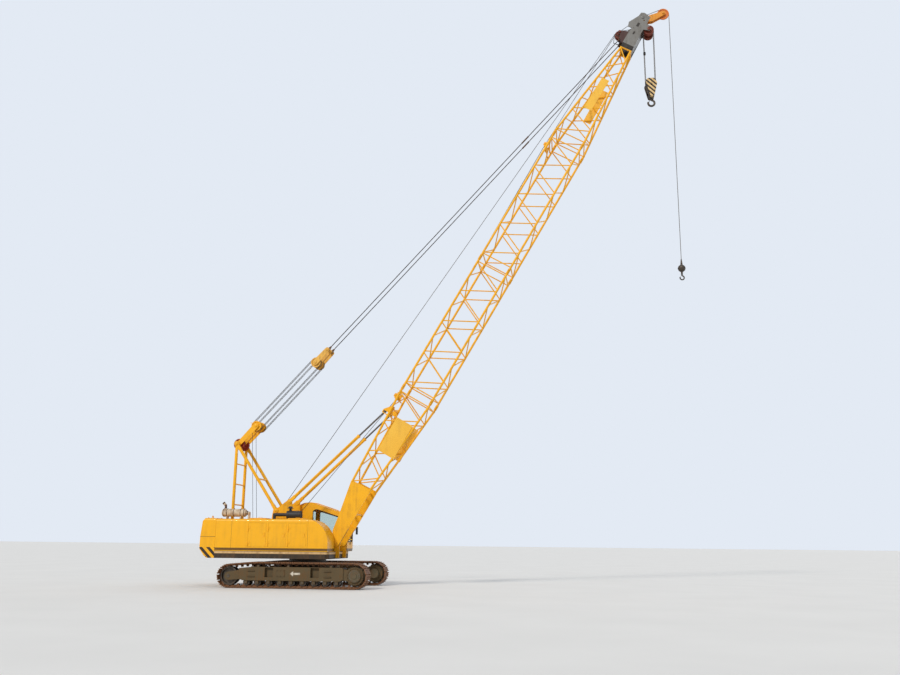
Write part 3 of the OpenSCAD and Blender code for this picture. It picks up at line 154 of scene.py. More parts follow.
world = bpy.data.worlds.new("pale_sky")
world.use_nodes = True
bpy.context.scene.world = world
tree = world.node_tree
soft_sky = tree.nodes["Background"]
feed(soft_sky, ("Color", rgb("#e4ebf5")), ("Strength", 0.62))
seen_sky = wired(tree, "ShaderNodeBackground", ("Color", rgb("#e3eaf4")), ("Strength", 1.0))
ray = wired(tree, "ShaderNodeLightPath").outputs
seen = maths("MAXIMUM", ray["Is Camera Ray"], ray["Is Glossy Ray"])
seen = maths("MAXIMUM", seen, ray["Is Transmission Ray"])
either = wired(tree, "ShaderNodeMixShader", ("Fac", seen), (1, soft_sky.outputs[0]), (2, seen_sky.outputs[0]))
tree.links.new(either.outputs[0], tree.nodes["World Output"].inputs["Surface"])

for name, strength, spread, tint, lean in (
    ("sun", 1.9, 9, (1.0, 0.955, 0.88), (radians(56), 0, radians(-22))),
    ("fill", 0.5, 60, (0.93, 0.96, 1.0), (radians(62), 0, radians(150))),
):
    lamp = bpy.data.lights.new(name, "SUN")
    lamp.energy = strength
    lamp.angle = radians(spread)
    lamp.color = tint
    holder = bpy.data.objects.new(name, lamp)
    holder.rotation_euler = lean
    bpy.context.collection.objects.link(holder)
bpy.context.scene.view_settings.view_transform = "Standard"


# Undercarriage frames and carbody
# The car body and both track frames are welded from steel plate and sprayed
# dark olive. Mud, rust and chipped corners show along their edges.
def ramp(value, start, stop, low=0.0, high=1.0):
    """Low to high as a value goes from start to stop."""
    feeds = ("Value", value), ("From Min", start), ("From Max", stop), ("To Min", low), ("To Max", high)
    return wired(value.id_data, "ShaderNodeMapRange", *feeds).outputs[0]


def axes_of(vector):
    return wired(vector.id_data, "ShaderNodeSeparateXYZ", ("Vector", vector)).outputs


def times(first, *others):
    """The product of all, such as masks that have to agree."""
    for other in others:
        first = maths("MULTIPLY", first, other)
    return first


def relief(shader, height, strength, depth):
    """Raises and sinks a shader's surface by a height."""
    feeds = ("Height", height), ("Strength", strength), ("Distance", depth)
    lift = wired(height.id_data, "ShaderNodeBump", *feeds)
    feed(shader, ("Normal", lift.outputs["Normal"]))


def site_wear():
    """Colour, roughness and height of a finish that has stood on a site."""
    group = bpy.data.node_groups.new("site_wear", "ShaderNodeTree")
    for way, kind, names in (
        ("INPUT", "NodeSocketColor", ("Finish", "Faded", "Dirt", "Bare")),
        ("INPUT", "NodeSocketFloat", ("Dirt Share", "Chips", "Edge Wear", "Dust", "Gloss Loss", "Scale")),
        ("OUTPUT", "NodeSocketColor", ("Color",)), ("OUTPUT", "NodeSocketFloat", ("Roughness", "Height")),
    ):
        for name in names:
            group.interface.new_socket(name=name, in_out=way, socket_type=kind)
    given = group.nodes.new("NodeGroupInput").outputs
    leave = group.nodes.new("NodeGroupOutput")
    place = wired(group, "ShaderNodeTexCoord").outputs
    sized = wired(group, "ShaderNodeVectorMath", (0, place["Object"]), ("Scale", given["Scale"]), operation="SCALE")
    spot = sized.outputs["Vector"]
    paint = mixed(noise(spot, 0.9, 5.0), given["Finish"], given["Faded"])
    # Rain runs down in narrow streaks, and grime gathers in patches
    tall = wired(group, "ShaderNodeMapping", ("Vector", spot), ("Scale", (9.0, 9.0, 0.55))).outputs[0]
    patches = noise(spot, 3.1, 8.0, 0.62)
    soiled = ramp(times(noise(tall, 1.0, 4.0), patches), 0.22, 0.44)
    grime = times(soiled, given["Dirt Share"])
    # Dust lies on what faces up
    dust = times(ramp(axes_of(place["Normal"])["Z"], 0.5, 0.95), given["Dust"], patches)
    settled = maths("MAXIMUM", grime, dust)
    dirty = mixed(settled, paint, given["Dirt"])
    # Chips in the open, and along edges, where the rounded normal leaves the flat one
    fine = noise(spot, 24.0, 6.0, 0.7)
    softened = wired(group, "ShaderNodeBevel", ("Radius", 0.012), samples=4).outputs[0]
    flat = wired(group, "ShaderNodeNewGeometry").outputs["Normal"]
    agree = wired(group, "ShaderNodeVectorMath", (0, softened), (1, flat), operation="DOT_PRODUCT").outputs["Value"]
    rubbed = times(ramp(agree, 0.97, 0.8), ramp(fine, 0.42, 0.56), given["Edge Wear"])
    bare = maths("MAXIMUM", times(ramp(fine, 0.66, 0.7), given["Chips"]), rubbed)
    feed(
        leave, ("Color", mixed(bare, dirty, given["Bare"])),
        ("Roughness", maths("MULTIPLY_ADD", settled, 0.45, given["Gloss Loss"])),
        ("Height", maths("SUBTRACT", fine, bare)),
    )
    return group


wear = site_wear()


def worn(name, finish, faded, dirt, bare="#5a3b28", dirt_share=0.3, chips=0.2, edges=0.4, dust=0.3,
         dull=0.4, scale=1.0, metal=0.0, coat=0.0, bump=0.12):
    """A material whose colour, roughness and relief come from the site wear."""
    material, tree, shader = new_material(name)
    group = wired(
        tree, "ShaderNodeGroup", ("Finish", rgb(finish)), ("Faded", rgb(faded)), ("Dirt", rgb(dirt)),
        ("Bare", rgb(bare)), ("Dirt Share", dirt_share), ("Chips", chips), ("Edge Wear", edges),
        ("Dust", dust), ("Gloss Loss", dull), ("Scale", scale), name="Wear", node_tree=wear,
    )
    feed(
        shader, ("Base Color", group.outputs["Color"]), ("Roughness", group.outputs["Roughness"]),
        ("Metallic", metal), ("Coat Weight", coat), ("Specular IOR Level", 0.3),
    )
    relief(shader, group.outputs["Height"], bump, 0.002)
    return material


def dress(material, *nodes):
    """Gives CAD nodes their finish through their material slots."""
    for node in nodes:
        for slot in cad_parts[node].material_slots:
            slot.material = material


def banded(name, base, bands, **finish):
    """Worn paint with other paints laid over it where a mask says so."""
    material = worn(name, *base, **finish)
    tree = material.node_tree
    axes = axes_of(place_in(tree))
    masks = [(mask(axes), rgb(code)) for mask, code in bands]
    for code, entry in zip(base, ("Finish", "Faded")):
        colour = rgb(code)
        for mask, paint in masks:
            colour = mixed(mask, colour, paint)
        tree.links.new(colour, tree.nodes["Wear"].inputs[entry])
    return material


def over(value, limit):
    """1 where value is greater than limit."""
    return maths("GREATER_THAN", value, limit)


def between(value, low, high):
    """1 where value lies from low to high."""
    return maths("SUBTRACT", over(value, low), over(value, high))


def aside(axes, limit):
    """1 further than limit from the middle plane."""
    return over(maths("ABSOLUTE", axes["Y"]), limit)


def travel_arrow(axes):
    """Painted arrow that points to the rear, on the outer face of each track frame."""
    along = maths("SUBTRACT", axes["X"], slew)
    off = maths("ABSOLUTE", maths("SUBTRACT", axes["Z"], 0.535))
    inside = over(maths("MULTIPLY_ADD", along, 0.7, 0.049), off)
    point = times(between(along, -0.07, 0.06), inside)
    stem = times(between(along, 0.059, 0.32), over(0.035, off))
    return times(aside(axes, 2.05), maths("MAXIMUM", point, stem))


OLIVE_PAINT = ("#4e4027", "#5e4e32", "#6a4a2a")
FRAME_WEAR = {"dirt_share": 0.75, "chips": 0.45, "edges": 0.7, "dust": 0.8, "dull": 0.55, "scale": 1.6}
olive_paint = worn("frame_olive", *OLIVE_PAINT, **FRAME_WEAR)
dress(olive_paint, "carbody")
frame_paint = banded("frame_marked", OLIVE_PAINT, [(travel_arrow, "#cdc6b6")], **FRAME_WEAR)
dress(frame_paint, "track_frame_r", "track_frame_l")


def named(name):
    """Puts the new object's place into its mesh and names it."""
    bpy.ops.object.transform_apply(location=True, rotation=True, scale=True)
    bpy.context.object.name = name
    return bpy.context.object


def block(name, corner, opposite):
    """A box between two opposite corners."""
    deselect()
    low, high = zip(*(sorted(pair) for pair in zip(corner, opposite)))
    middle = [(a + b) / 2 for a, b in zip(low, high)]
    bpy.ops.mesh.primitive_cube_add(size=1, location=middle, scale=[b - a for a, b in zip(low, high)])
    return named(name)


def turned(name, start, end, radius, tip=None, sides=16):
    """A round or many-sided bar between two points, tapering to tip."""
    start, end = Vector(start), Vector(end)
    along = end - start
    deselect()
    bpy.ops.mesh.primitive_cone_add(
        vertices=sides, radius1=radius, radius2=radius if tip is None else tip, depth=along.length,
        location=(start + end) / 2, rotation=along.to_track_quat("Z", "Y").to_euler(),
    )
    return named(name)


def pick(kind, test):
    """In edit mode, selects the faces or edges whose middle and way pass a test."""
    mesh = bmesh.from_edit_mesh(bpy.context.object.data)
    bpy.ops.mesh.select_mode(type=kind)
    bpy.ops.mesh.select_all(action="DESELECT")
    for face in mesh.faces if kind == "FACE" else ():
        face.select_set(test(face.calc_center_median(), face.normal))
    for edge in mesh.edges if kind == "EDGE" else ():
        a, b = (vert.co for vert in edge.verts)
        edge.select_set(test((a + b) / 2, (b - a).normalized()))
    mesh.select_flush_mode()
    bmesh.update_edit_mesh(bpy.context.object.data)


def edit():
    bpy.ops.object.mode_set(mode="EDIT")


def done():
    bpy.ops.object.mode_set(mode="OBJECT")
    return bpy.context.object


def facing_up(middle, normal):
    return normal.z > 0.9


def pressed(test, rim, shift, **inset):
    """Insets the newest piece's faces that pass a test by a rim and moves them."""
    edit()
    pick("FACE", test)
    bpy.ops.mesh.inset(thickness=rim, **inset)
    bpy.ops.transform.translate(value=shift)
    return done()


def activate(piece):
    deselect()
    piece.select_set(True)
    bpy.context.view_layer.objects.active = piece


def modified(piece, kind, **settings):
    """Puts a modifier on a piece and applies it."""
    activate(piece)
    bpy.ops.object.modifier_add(type=kind)
    for key, value in settings.items():
        setattr(piece.modifiers[-1], key, value)
    bpy.ops.object.modifier_apply(modifier=piece.modifiers[-1].name)
    return piece


def eased(piece, width, segments=1):
    """Rounds the sharp edges."""
    return modified(piece, "BEVEL", width=width, segments=segments, limit_method="ANGLE")


def copied(piece, place):
    """A copy with its own mesh, moved, turned or scaled."""
    again = piece.copy()
    again.data = piece.data.copy()
    again.data.transform(place)
    bpy.context.collection.objects.link(again)
    return again


def joined(name, parts):
    deselect()
    for part in parts:
        part.select_set(True)
    bpy.context.view_layer.objects.active = parts[0]
    if len(parts) > 1:
        bpy.ops.object.join()
    parts[0].name = name
    return parts[0]


def fitted(piece, material, body, slot, sharp=35):
    """Shades a finished piece, paints it and fixes it to its body."""
    activate(piece)
    bpy.ops.object.shade_smooth_by_angle(angle=radians(sharp))
    piece.data.materials.clear()
    piece.data.materials.append(material)
    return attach(piece, body)


def fixed(name, parts, *finish, **shading):
    """Parts joined to one piece that is painted and fixed to its body."""
    return fitted(joined(name, parts), *finish, **shading)


def towards(point, way, size=1.0):
    """Matrix that stands a piece drawn up the Z axis on a point, facing a way."""
    turn = Vector(way).to_track_quat("Z", "Y").to_matrix().to_4x4()
    return Matrix.Translation(point) @ turn @ Matrix.Scale(size, 4)


# One hexagon bolt on its washer, for 24 mm bolts, which every row copies
washer = turned("washer", (0, 0, 0), (0, 0, 0.004), 0.026, sides=14)
turned("bolt_head", (0, 0, 0.004), (0, 0, 0.019), 0.0208, sides=6)
bolt = joined("bolt", [pressed(facing_up, 0.003, (0, 0, 0.002)), washer])


def bolt_rows(name, spots, *finish):
    """Bolts at (point, way, size), joined as one piece."""
    return fixed(name, [copied(bolt, towards(*spot)) for spot in spots], *finish)


def bolt_circle(centre, radius, count, way, size, first=0.0):
    """Spots of bolts round a centre, in the plane that their way stands on."""
    spots = []
    for a in (2 * pi / count * (k + first) for k in range(count)):
        off = (cos(a), sin(a), 0) if way[2] else (cos(a), 0, sin(a))
        spots.append(([c + radius * o for c, o in zip(centre, off)], way, size))
    return spots


# Track gauge, width of a track frame, how far its outer plate stands from the
# track's middle, then where the end wheels turn and how high
GAUGE, FRAME_W, PLATE_OUT = 3.54, 0.6, 0.27
SPROCKET_X, IDLER_X, TREAD_FRONT, TREAD_REAR = 2.37, -2.43, 0.475, 0.435
# Sign of Y on each side, and how its pieces' names end
SIDES = ((-1, "r"), (1, "l"))
for side, end in SIDES:
    y = side * (GAUGE / 2 + FRAME_W / 2)
    # Four steps welded to the outer side, a grease cover and the cover's bolts
    parts = [
        block("step", at(x - 0.14, y, z), at(x + 0.14, y + side * 0.045, z + 0.02))
        for x in (-1.55, 1.35) for z in (0.42, 0.62)
    ]
    cover = y + side * 0.014
    parts.append(eased(block("cover", at(-0.58, y, 0.42), at(-0.26, cover, 0.66)), 0.004))
    fixed("frame_steps_" + end, parts, olive_paint, "undercarriage", "frame_green")
    spots = [(at(x, cover, z), (0, side, 0), 0.8) for x in (-0.55, -0.42, -0.29) for z in (0.445, 0.635)]
    drive = at(SPROCKET_X, side * (GAUGE / 2 + PLATE_OUT), TREAD_FRONT)
    spots += bolt_circle(drive, 0.285, 18, (0, side, 0), 1.1, 0.5)
    bolt_rows("frame_bolts_" + end, spots, olive_paint, "undercarriage", "frame_green")

# Bolts of the slew ring on the carbody's upper plate
spots = bolt_circle(at(0, 0, 0.93), 0.745, 40, (0, 0, 1), 0.9)
bolt_rows("ring_bolts", spots, olive_paint, "undercarriage", "frame_green")

# Tracks
# Each track is a chain of 57 cast steel links with pins, and a rolled steel
# shoe with three grousers bolted to each. Earth has rusted them brown.
track_steel = worn(
    "track_rust", "#6d4a33", "#8a5c3d", "#a2784c", bare="#93806d", dirt_share=0.55, chips=0.5, edges=0.8,
    dust=0.7, dull=0.62, scale=3.0, metal=0.25, bump=0.3,
)
KNEE_X, PAD, SHOES = -1.5, 0.065, 57
rim_front, rim_rear = TREAD_FRONT - PAD, TREAD_REAR - PAD
knee = Vector((KNEE_X, TREAD_FRONT + rim_front))
rear = Vector((IDLER_X, TREAD_REAR))
rise = knee - rear
rear_turn = atan2(rise.y, rise.x) + acos(rim_rear / rise.length)
rear_top = rear + rim_rear * Vector((cos(rear_turn), sin(rear_turn)))
# Lower run, sprocket, upper run, slope down to the idler, idler
runs = [
    SPROCKET_X - IDLER_X, pi * rim_front, SPROCKET_X - KNEE_X, (knee - rear_top).length,
    rim_rear * (1.5 * pi - rear_turn),
]
link_pitch = sum(runs) / SHOES


def pin_line(s):
    """Point of the chain's pin line at a length along it, in X and Z."""
    s %= sum(runs)
    if s < runs[0]:
        return Vector((IDLER_X + s, PAD))
    s -= runs[0]
    if s < runs[1]:
        turn = s / rim_front - pi / 2
        return Vector((SPROCKET_X, TREAD_FRONT)) + rim_front * Vector((cos(turn), sin(turn)))
    s -= runs[1]
    if s < runs[2]:
        return Vector((SPROCKET_X - s, knee.y))
    s -= runs[2]
    if s < runs[3]:
        return knee + (rear_top - knee) * s / runs[3]
    turn = rear_turn + (s - runs[3]) / rim_rear
    return rear + rim_rear * Vector((cos(turn), sin(turn)))


# One shoe, drawn along X from pin to pin, its grousers towards +Z
SHOE_W, SHOE_GAP, PLATE_LOW, PLATE_TOP = 0.76, 0.014, 0.026, 0.042
GROUSERS = (0.03, 0.1, 0.176)
shoe = block("shoe", (SHOE_GAP, -SHOE_W / 2, PLATE_LOW), (link_pitch - SHOE_GAP / 2, SHOE_W / 2, PLATE_TOP))
edit()
for x in GROUSERS:
    for shift in (-0.011, 0.011):
        bpy.ops.mesh.select_all(action="SELECT")
        bpy.ops.mesh.bisect(plane_co=(x + shift, 0, 0), plane_no=(1, 0, 0))
pick("FACE", lambda middle, normal: normal.z > 0.9 and min(abs(middle.x - x) for x in GROUSERS) < 0.004)
bpy.ops.mesh.extrude_region_move(TRANSFORM_OT_translate={"value": (0, 0, PAD - PLATE_TOP)})
bpy.ops.transform.resize(value=(1, 0.985, 1))
# The front lip turns down so that the shoes overlap
pick("EDGE", lambda middle, way: middle.x < SHOE_GAP + 0.001 and abs(way.y) > 0.9)
bpy.ops.transform.translate(value=(0, 0, -0.01))
done()
half = link_pitch / 2
rails = []
for side in (-1, 1):
    for end_x, inner_x, y in ((-0.032, half + 0.02, 0.09), (link_pitch + 0.032, half - 0.02, 0.12)):
        block("rail", (end_x, side * y, -0.0245), (inner_x, side * (y + 0.036), PLATE_LOW))
        edit()
        # Waisted under the shoe, as the links are between the rollers
        pick("EDGE", lambda middle, way: abs(middle.x - end_x) < 0.001 and abs(way.y) > 0.9)
        bpy.ops.mesh.bevel(offset=0.014, segments=2, affect="EDGES")
        rails.append(done())
pin = turned("pin", (0, -0.168, 0), (0, 0.168, 0), 0.019, sides=10)
bosses = [turned("boss", (0, side * 0.126, 0), (0, side * 0.16, 0), 0.03, sides=10) for side in (-1, 1)]
lug = block("lug", (half - 0.05, -0.06, -0.09), (half + 0.05, 0.06, PLATE_LOW))
edit()
pick("FACE", lambda middle, normal: normal.z < -0.9)
bpy.ops.transform.resize(value=(0.6, 0.75, 1), center_override=(half, 0, -0.09))
done()
heads = [
    copied(bolt, towards((x, y, PLATE_TOP), (0, 0, 1), 0.62)) for x in (0.066, 0.14) for y in (-0.125, 0.125)
]
shoe = joined("shoe", [shoe, *rails, pin, *bosses, lug, *heads])
for side, end in SIDES:
    links = []
    for k in range(SHOES):
        here, there = pin_line(k * link_pitch), pin_line((k + 1) * link_pitch)
        way = (there - here).normalized()
        # Along the chain, across it, and outwards; the width stays right handed
        basis = Matrix(((way.x, 0, way.y), (0, -1, 0), (way.y, 0, -way.x))).transposed().to_4x4()
        links.append(copied(shoe, Matrix.Translation(at(here.x, side * GAUGE / 2, here.y)) @ basis))
    chain = fixed("track_chain_" + end, links, track_steel, "undercarriage", "track_steel", sharp=30)
    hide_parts("track_" + end)
bpy.data.objects.remove(shoe)

# Wheels of the tracks
# Rollers, idlers and drive wheels are forged and machined steel, greased and
# sealed. The final drives behind the front wheels are painted olive castings.
wheel_steel = worn(
    "wheel_steel", "#4b4640", "#5d564d", "#5e4330", bare="#9a948b", dirt_share=0.7, chips=0.4, edges=0.7,
    dull=0.4, scale=2.5, metal=0.6,
)
dress(wheel_steel, "slew_ring", "rollers_r", "rollers_l", "idler_r", "idler_l")
drive_olive = worn(
    "drive_olive", "#514936", "#62583f", "#6d4d31", dirt_share=0.7, chips=0.5, edges=0.7, dull=0.5, scale=2.0,
)
dress(drive_olive, "sprocket_r", "sprocket_l")
COVER_OUT = PLATE_OUT + 0.075
for side, end in SIDES:
    y = side * (GAUGE / 2 + COVER_OUT)
    # A stepped cover: from and to along the axle, radius at each
    parts = [
        turned("step", at(SPROCKET_X, y + side * inner, TREAD_FRONT), at(SPROCKET_X, y + side * outer, TREAD_FRONT),
               wide, narrow, sides)
        for inner, outer, wide, narrow, sides in ((-0.01, 0.03, 0.105, 0.09, 32), (-0.03, 0.008, 0.17, 0.166, 48))
    ]
    fixed("drive_hub_" + end, parts, drive_olive, "undercarriage", "frame_green")
    spots = bolt_circle(at(SPROCKET_X, y, TREAD_FRONT), 0.188, 16, (0, side, 0), 0.7)
    spots += bolt_circle(at(IDLER_X, side * (GAUGE / 2 + 0.282), TREAD_REAR), 0.038, 4, (0, side, 0), 0.6)
    bolt_rows("drive_bolts_" + end, spots, wheel_steel, "undercarriage", "bare_steel")


# Revolving deck
# The deck's skirt is black over road dirt, with a cream line round its sides
# and nose. The two webs that stand on it, and their posts in front, are yellow.
YELLOW = ("#f4ad06", "#f5b41c", "#94681e")
OLIVE, CREAM, BLACK, SKIRT, SEAM = "#6a4a16", "#d8b27c", "#2a2119", "#33281c", "#7a5a18"


def cream_line(axes):
    rim = between(axes["Z"], 1.236, 1.312)
    return times(rim, maths("MAXIMUM", aside(axes, 1.64), over(axes["X"], slew + 1.06)))


def webs(axes):
    """The webs rise over the deck, and their posts stand in front of its skirt."""
    return maths("MAXIMUM", over(axes["Z"], 1.334), over(axes["X"], slew + 1.2505))


deck_paint = banded(
    "deck_black", (SKIRT, "#3a3024", "#6b5238"), [(cream_line, CREAM), (webs, YELLOW[0])],
    dull=0.55, dirt_share=0.55,
)
dress(deck_paint, "upper_frame")
engine_paint = worn("engine_grey", "#54524f", "#6c6964", "#3a2b20", dirt_share=0.6, scale=2.5, metal=0.7)
dress(engine_paint, "engine")

# Bolts that hold the upper ring of the bearing to the deck
spots = bolt_circle(at(0, 0, 1.06), 0.66, 36, (0, 0, -1), 0.8)
bolt_rows("bearing_bolts", spots, deck_paint, "upper", "deck_black")

# Winches
# Three drums turn between the webs. Their ropes are wound in one full layer,
# and each drum has a bolted gearbox cover outside the right web.
drum_iron = worn(
    "drum_iron", "#6d4a2a", "#8a6137", "#3a2b20", dirt_share=0.6, chips=0.5, dull=0.45, scale=2.5, metal=0.3,
)
dress(drum_iron, "hoist_winches", "luffing_winch")
WEB_Y, WEB_T, SHAFT_Z = 0.55, 0.06, 1.75
ROPE_R, LUFF_ROPE, LUFF_COIL = 0.011, 0.008, 0.009


def strands(name, clean, greased):
    """Wire rope: slanting strands from the UV map, dark with grease between them."""
    material, tree, shader = new_material(name)
    axes = axes_of(wired(tree, "ShaderNodeUVMap", uv_map="UVMap").outputs["UV"])
    # Six strands, each turning once round the rope in 140 mm
    turns = maths("MULTIPLY_ADD", axes["X"], 1 / 0.14, axes["Y"])
    lay = maths("SINE", times(turns, 12 * pi))
    height = maths("MULTIPLY_ADD", lay, 0.5, 0.5)
    patches = noise(place_in(tree), 1.7, 4.0)
    wire = mixed(patches, rgb(clean), rgb(greased))
    feed(shader, ("Base Color", mixed(height, rgb("#38332e"), wire)), ("Metallic", 0.55),
         ("Roughness", ramp(patches, 0.0, 1.0, 0.42, 0.67)))
    relief(shader, height, 0.6, 0.003)
    return material


rope_wire = strands("rope_wire", "#a09b94", "#6f675d")


def rope(name, points, radius=ROPE_R, sides=1, closed=False):
    """A round bar along points, with metres along U and its girth along V."""
    deselect()
    bpy.ops.curve.primitive_nurbs_path_add()
    line = bpy.context.object.data
    line.splines.clear()
    path = line.splines.new("POLY")
    path.points.add(len(points) - 1)
    for spot, point in zip(path.points, points):
        spot.co = (*point, 1)
    path.use_cyclic_u = closed
    line.bevel_depth = radius
    line.bevel_resolution = sides
    line.use_fill_caps = not closed
    bpy.ops.object.convert(target="MESH")
    piece = bpy.context.object
    piece.name = name
    stops = list(points) + list(points[:1] if closed else [])
    run = [0.0]
    for near, far in zip(stops, stops[1:]):
        run.append(run[-1] + (Vector(far) - Vector(near)).length)
    for corner in piece.data.uv_layers[0].uv:
        corner.vector = (run[round(corner.vector.x * (len(stops) - 1))], corner.vector.y)
    edit()
    bpy.ops.mesh.select_all(action="SELECT")
    bpy.ops.mesh.remove_doubles(threshold=0.0001)
    return done()


# The drums: place along the machine, radius
REAR_DRUM, FRONT_DRUM, LUFF_DRUM = (-1.64, 0.25), (-0.95, 0.25), (-2.42, 0.215)
for name, (x, radius), thick in (("rear_hoist", REAR_DRUM, ROPE_R), ("front_hoist", FRONT_DRUM, ROPE_R),
                                 ("luffing", LUFF_DRUM, LUFF_COIL)):
    # One layer of rope from side to side, 14 points to a turn
    width = WEB_Y - WEB_T / 2 - 0.037 - thick - 0.002
    turns = int(2 * width / (2.15 * thick))
    coils = [
        at(x + (radius + thick) * cos(2 * pi * k / 14), -width + 2 * width * k / (14 * turns),
           SHAFT_Z + (radius + thick) * sin(2 * pi * k / 14))
        for k in range(14 * turns + 1)
    ]
    fitted(rope(name + "_coils", coils, thick), rope_wire, "upper", "bare_steel", sharp=60)
    y = -WEB_Y - WEB_T / 2
    turned(name + "_gearbox", at(x, y - 0.001, SHAFT_Z), at(x, y - 0.045, SHAFT_Z), 0.2, 0.185, 40)
    case = pressed(lambda middle, normal: normal.y < -0.9, 0.06, (0, -0.018, 0))
    fitted(eased(case, 0.004), deck_paint, "upper", "deck_black")
    spots = bolt_circle(at(x, y - 0.045, SHAFT_Z), 0.158, 12, (0, -1, 0), 0.7)
    bolt_rows(name + "_gearbox_bolts", spots, deck_paint, "upper", "deck_black")


# Counterweight
# Two cast blocks stand one on the other behind the houses. They are painted
# yellow, with slanting black warning stripes round the foot and two cast eyes.
def slanting(along, height, pitch=0.3):
    """Slanting stripes along a face, 1 on the dark ones."""
    both = maths("ADD", along, height)
    return over(maths("SINE", times(both, 2 * pi / pitch)), 0.0)


def tail_stripes(axes):
    foot = between(axes["Z"], 1.0, 1.46)
    flank = times(aside(axes, 1.6), slanting(axes["X"], axes["Z"]))
    behind = over(times(axes["X"], -1), 3.55 - slew)
    inner = maths("SUBTRACT", 1, aside(axes, 1.6))
    back = times(behind, inner, slanting(maths("ABSOLUTE", axes["Y"]), axes["Z"]))
    return times(foot, maths("MAXIMUM", flank, back))


def block_seam(axes):
    """Dark joint between the two cast blocks."""
    return between(axes["Z"], 1.842, 1.858)


SHEET = {"dull": 0.38, "coat": 0.08}
tail_paint = banded(
    "tail_yellow", YELLOW, [(tail_stripes, BLACK), (block_seam, SEAM)], dirt_share=0.22, scale=0.7, **SHEET,
)
dress(tail_paint, "counterweight_lower", "counterweight_upper")
TAIL_TOP, EYE_X = 2.54, -3.55
parts = []
for y in (-1.1, 1.1):
    # Lifting eye: a cast bow whose feet go into the block
    bow = [
        at(EYE_X, y + 0.075 * cos(a), TAIL_TOP - 0.01 + (0.1 * sin(a) if a <= pi else 0))
        for a in (pi * k / 12 for k in range(13))
    ]
    parts.append(rope("eye_bow", bow, 0.016, 2))
    low, high = at(EYE_X - 0.06, y - 0.11, TAIL_TOP - 0.001), at(EYE_X + 0.06, y + 0.11, TAIL_TOP + 0.012)
    parts.append(block("eye_foot", low, high))
fixed("tail_eyes", parts, tail_paint, "upper", "ballast_iron")
spots = [((slew - 3.86 * cos(a), 3.86 * sin(a), TAIL_TOP), (0, 0, 1), 1.3) for a in (-0.36, 0.36)]
spots += [(at(-3.35, y, TAIL_TOP), (0, 0, 1), 1.3) for y in (-0.7, 0, 0.7)]
bolt_rows("tail_bolts", spots, tail_paint, "upper", "ballast_iron")


# Machine houses
# Sheet steel shells on both sides of the deck, yellow over a dark olive band.
# The right one ends in the rounded nose. Bolted lids with grips lie on top.
def foot_band(axes):
    return between(axes["Z"], 1.352, 1.446)


def panel_seams(axes):
    """Dark joints between the bolted panels."""
    lines = [between(axes["X"], slew + x - 0.005, slew + x + 0.005) for x in (-2.56, 0.42)]
    return times(maths("MAXIMUM", *lines), between(axes["Z"], 1.45, 2.6))


house_paint = banded(
    "house_yellow", YELLOW, [(foot_band, OLIVE), (panel_seams, SEAM)], dirt_share=0.2, scale=0.8, **SHEET,
)
dress(house_paint, "house_right", "house_left")
door_paint = banded("door_yellow", YELLOW, [(foot_band, OLIVE)], dirt_share=0.2, scale=1.1, **SHEET)
dress(door_paint, "door_right_1", "door_right_2", "door_right_3", "door_left_1", "door_left_2")


def grip(name, start, end, out, radius, sides=1):
    """A bent bar handle with a foot at each end, which stands out by a vector."""
    start, end, out = Vector(start), Vector(end), Vector(out)
    return rope(name, [start, start + out, end + out, end], radius, sides)


ROOF = 2.52
parts = []
# Lids and vents on the roofs: x from, x to, y from, y to
for x0, x1, y0, y1 in ((-1.95, -1.3, -1.45, -0.8), (-0.45, 0.15, -1.45, -0.8), (-2.95, -2.15, 0.8, 1.45),
                       (-1.75, -1.1, 0.8, 1.45)):
    block("lid", at(x0, y0, ROOF), at(x1, y1, ROOF + 0.03))
    parts.append(eased(pressed(facing_up, 0.035, (0, 0, 0.012)), 0.006))
    # Two hinges and a handle on each lid
    outer, middle_x, middle_y = max(y0, y1, key=abs), (x0 + x1) / 2, (y0 + y1) / 2
    for x in (x0 + 0.12, x1 - 0.12):
        parts.append(turned("lid_hinge", at(x - 0.04, outer, ROOF + 0.02), at(x + 0.04, outer, ROOF + 0.02), 0.012))
    feet = at(middle_x - 0.07, middle_y, ROOF + 0.035), at(middle_x + 0.07, middle_y, ROOF + 0.035)
    parts.append(grip("lid_grip", *feet, (0, 0, 0.04), 0.007))
fixed("roof_lids", parts, house_paint, "upper", "boom_yellow")
spots = [(at(x, y, ROOF), (0, 0, 1), 0.7) for x in (-2.7, -2.1, -1.1, -0.7, 0.2) for y in (-1.53, -0.7)]
bolt_rows("roof_bolts", spots, house_paint, "upper", "boom_yellow")

# House doors
# Each flush door has a sunk paddle latch. The doors on the left have louvres
# pressed in, where the cooling air of the engine leaves.
HOUSE_Y, DOOR_Z, DOOR_W = 1.65, 1.49, 0.7
for name, side, x in (("door_right_1", -1, -1.9), ("door_right_2", -1, -1.12), ("door_right_3", -1, -0.34),
                      ("door_left_1", 1, -2.4), ("door_left_2", 1, -1.6)):
    face, edge = side * HOUSE_Y, x + DOOR_W
    block(name + "_latch", at(edge - 0.145, face, DOOR_Z + 0.36), at(edge - 0.045, face + side * 0.007, DOOR_Z + 0.52))
    paddle = pressed(lambda middle, normal: normal.y * side > 0.9, 0.008, (0, -side * 0.003, 0))
    fitted(eased(paddle, 0.002), door_paint, name, "boom_yellow")
    if side > 0:
        parts = []
        for z in (DOOR_Z + 0.2 + 0.05 * k for k in range(9)):
            block("slat", at(x + 0.12, face - 0.001, z), at(edge - 0.18, face + 0.016, z + 0.034))
            edit()
            pick("EDGE", lambda middle, way: middle.z > z + 0.03 and middle.y > face + 0.01 and abs(way.x) > 0.9)
            bpy.ops.transform.translate(value=(0, -0.0155, 0))
            parts.append(done())
        fixed(name + "_louvres", parts, door_paint, name, "boom_yellow")

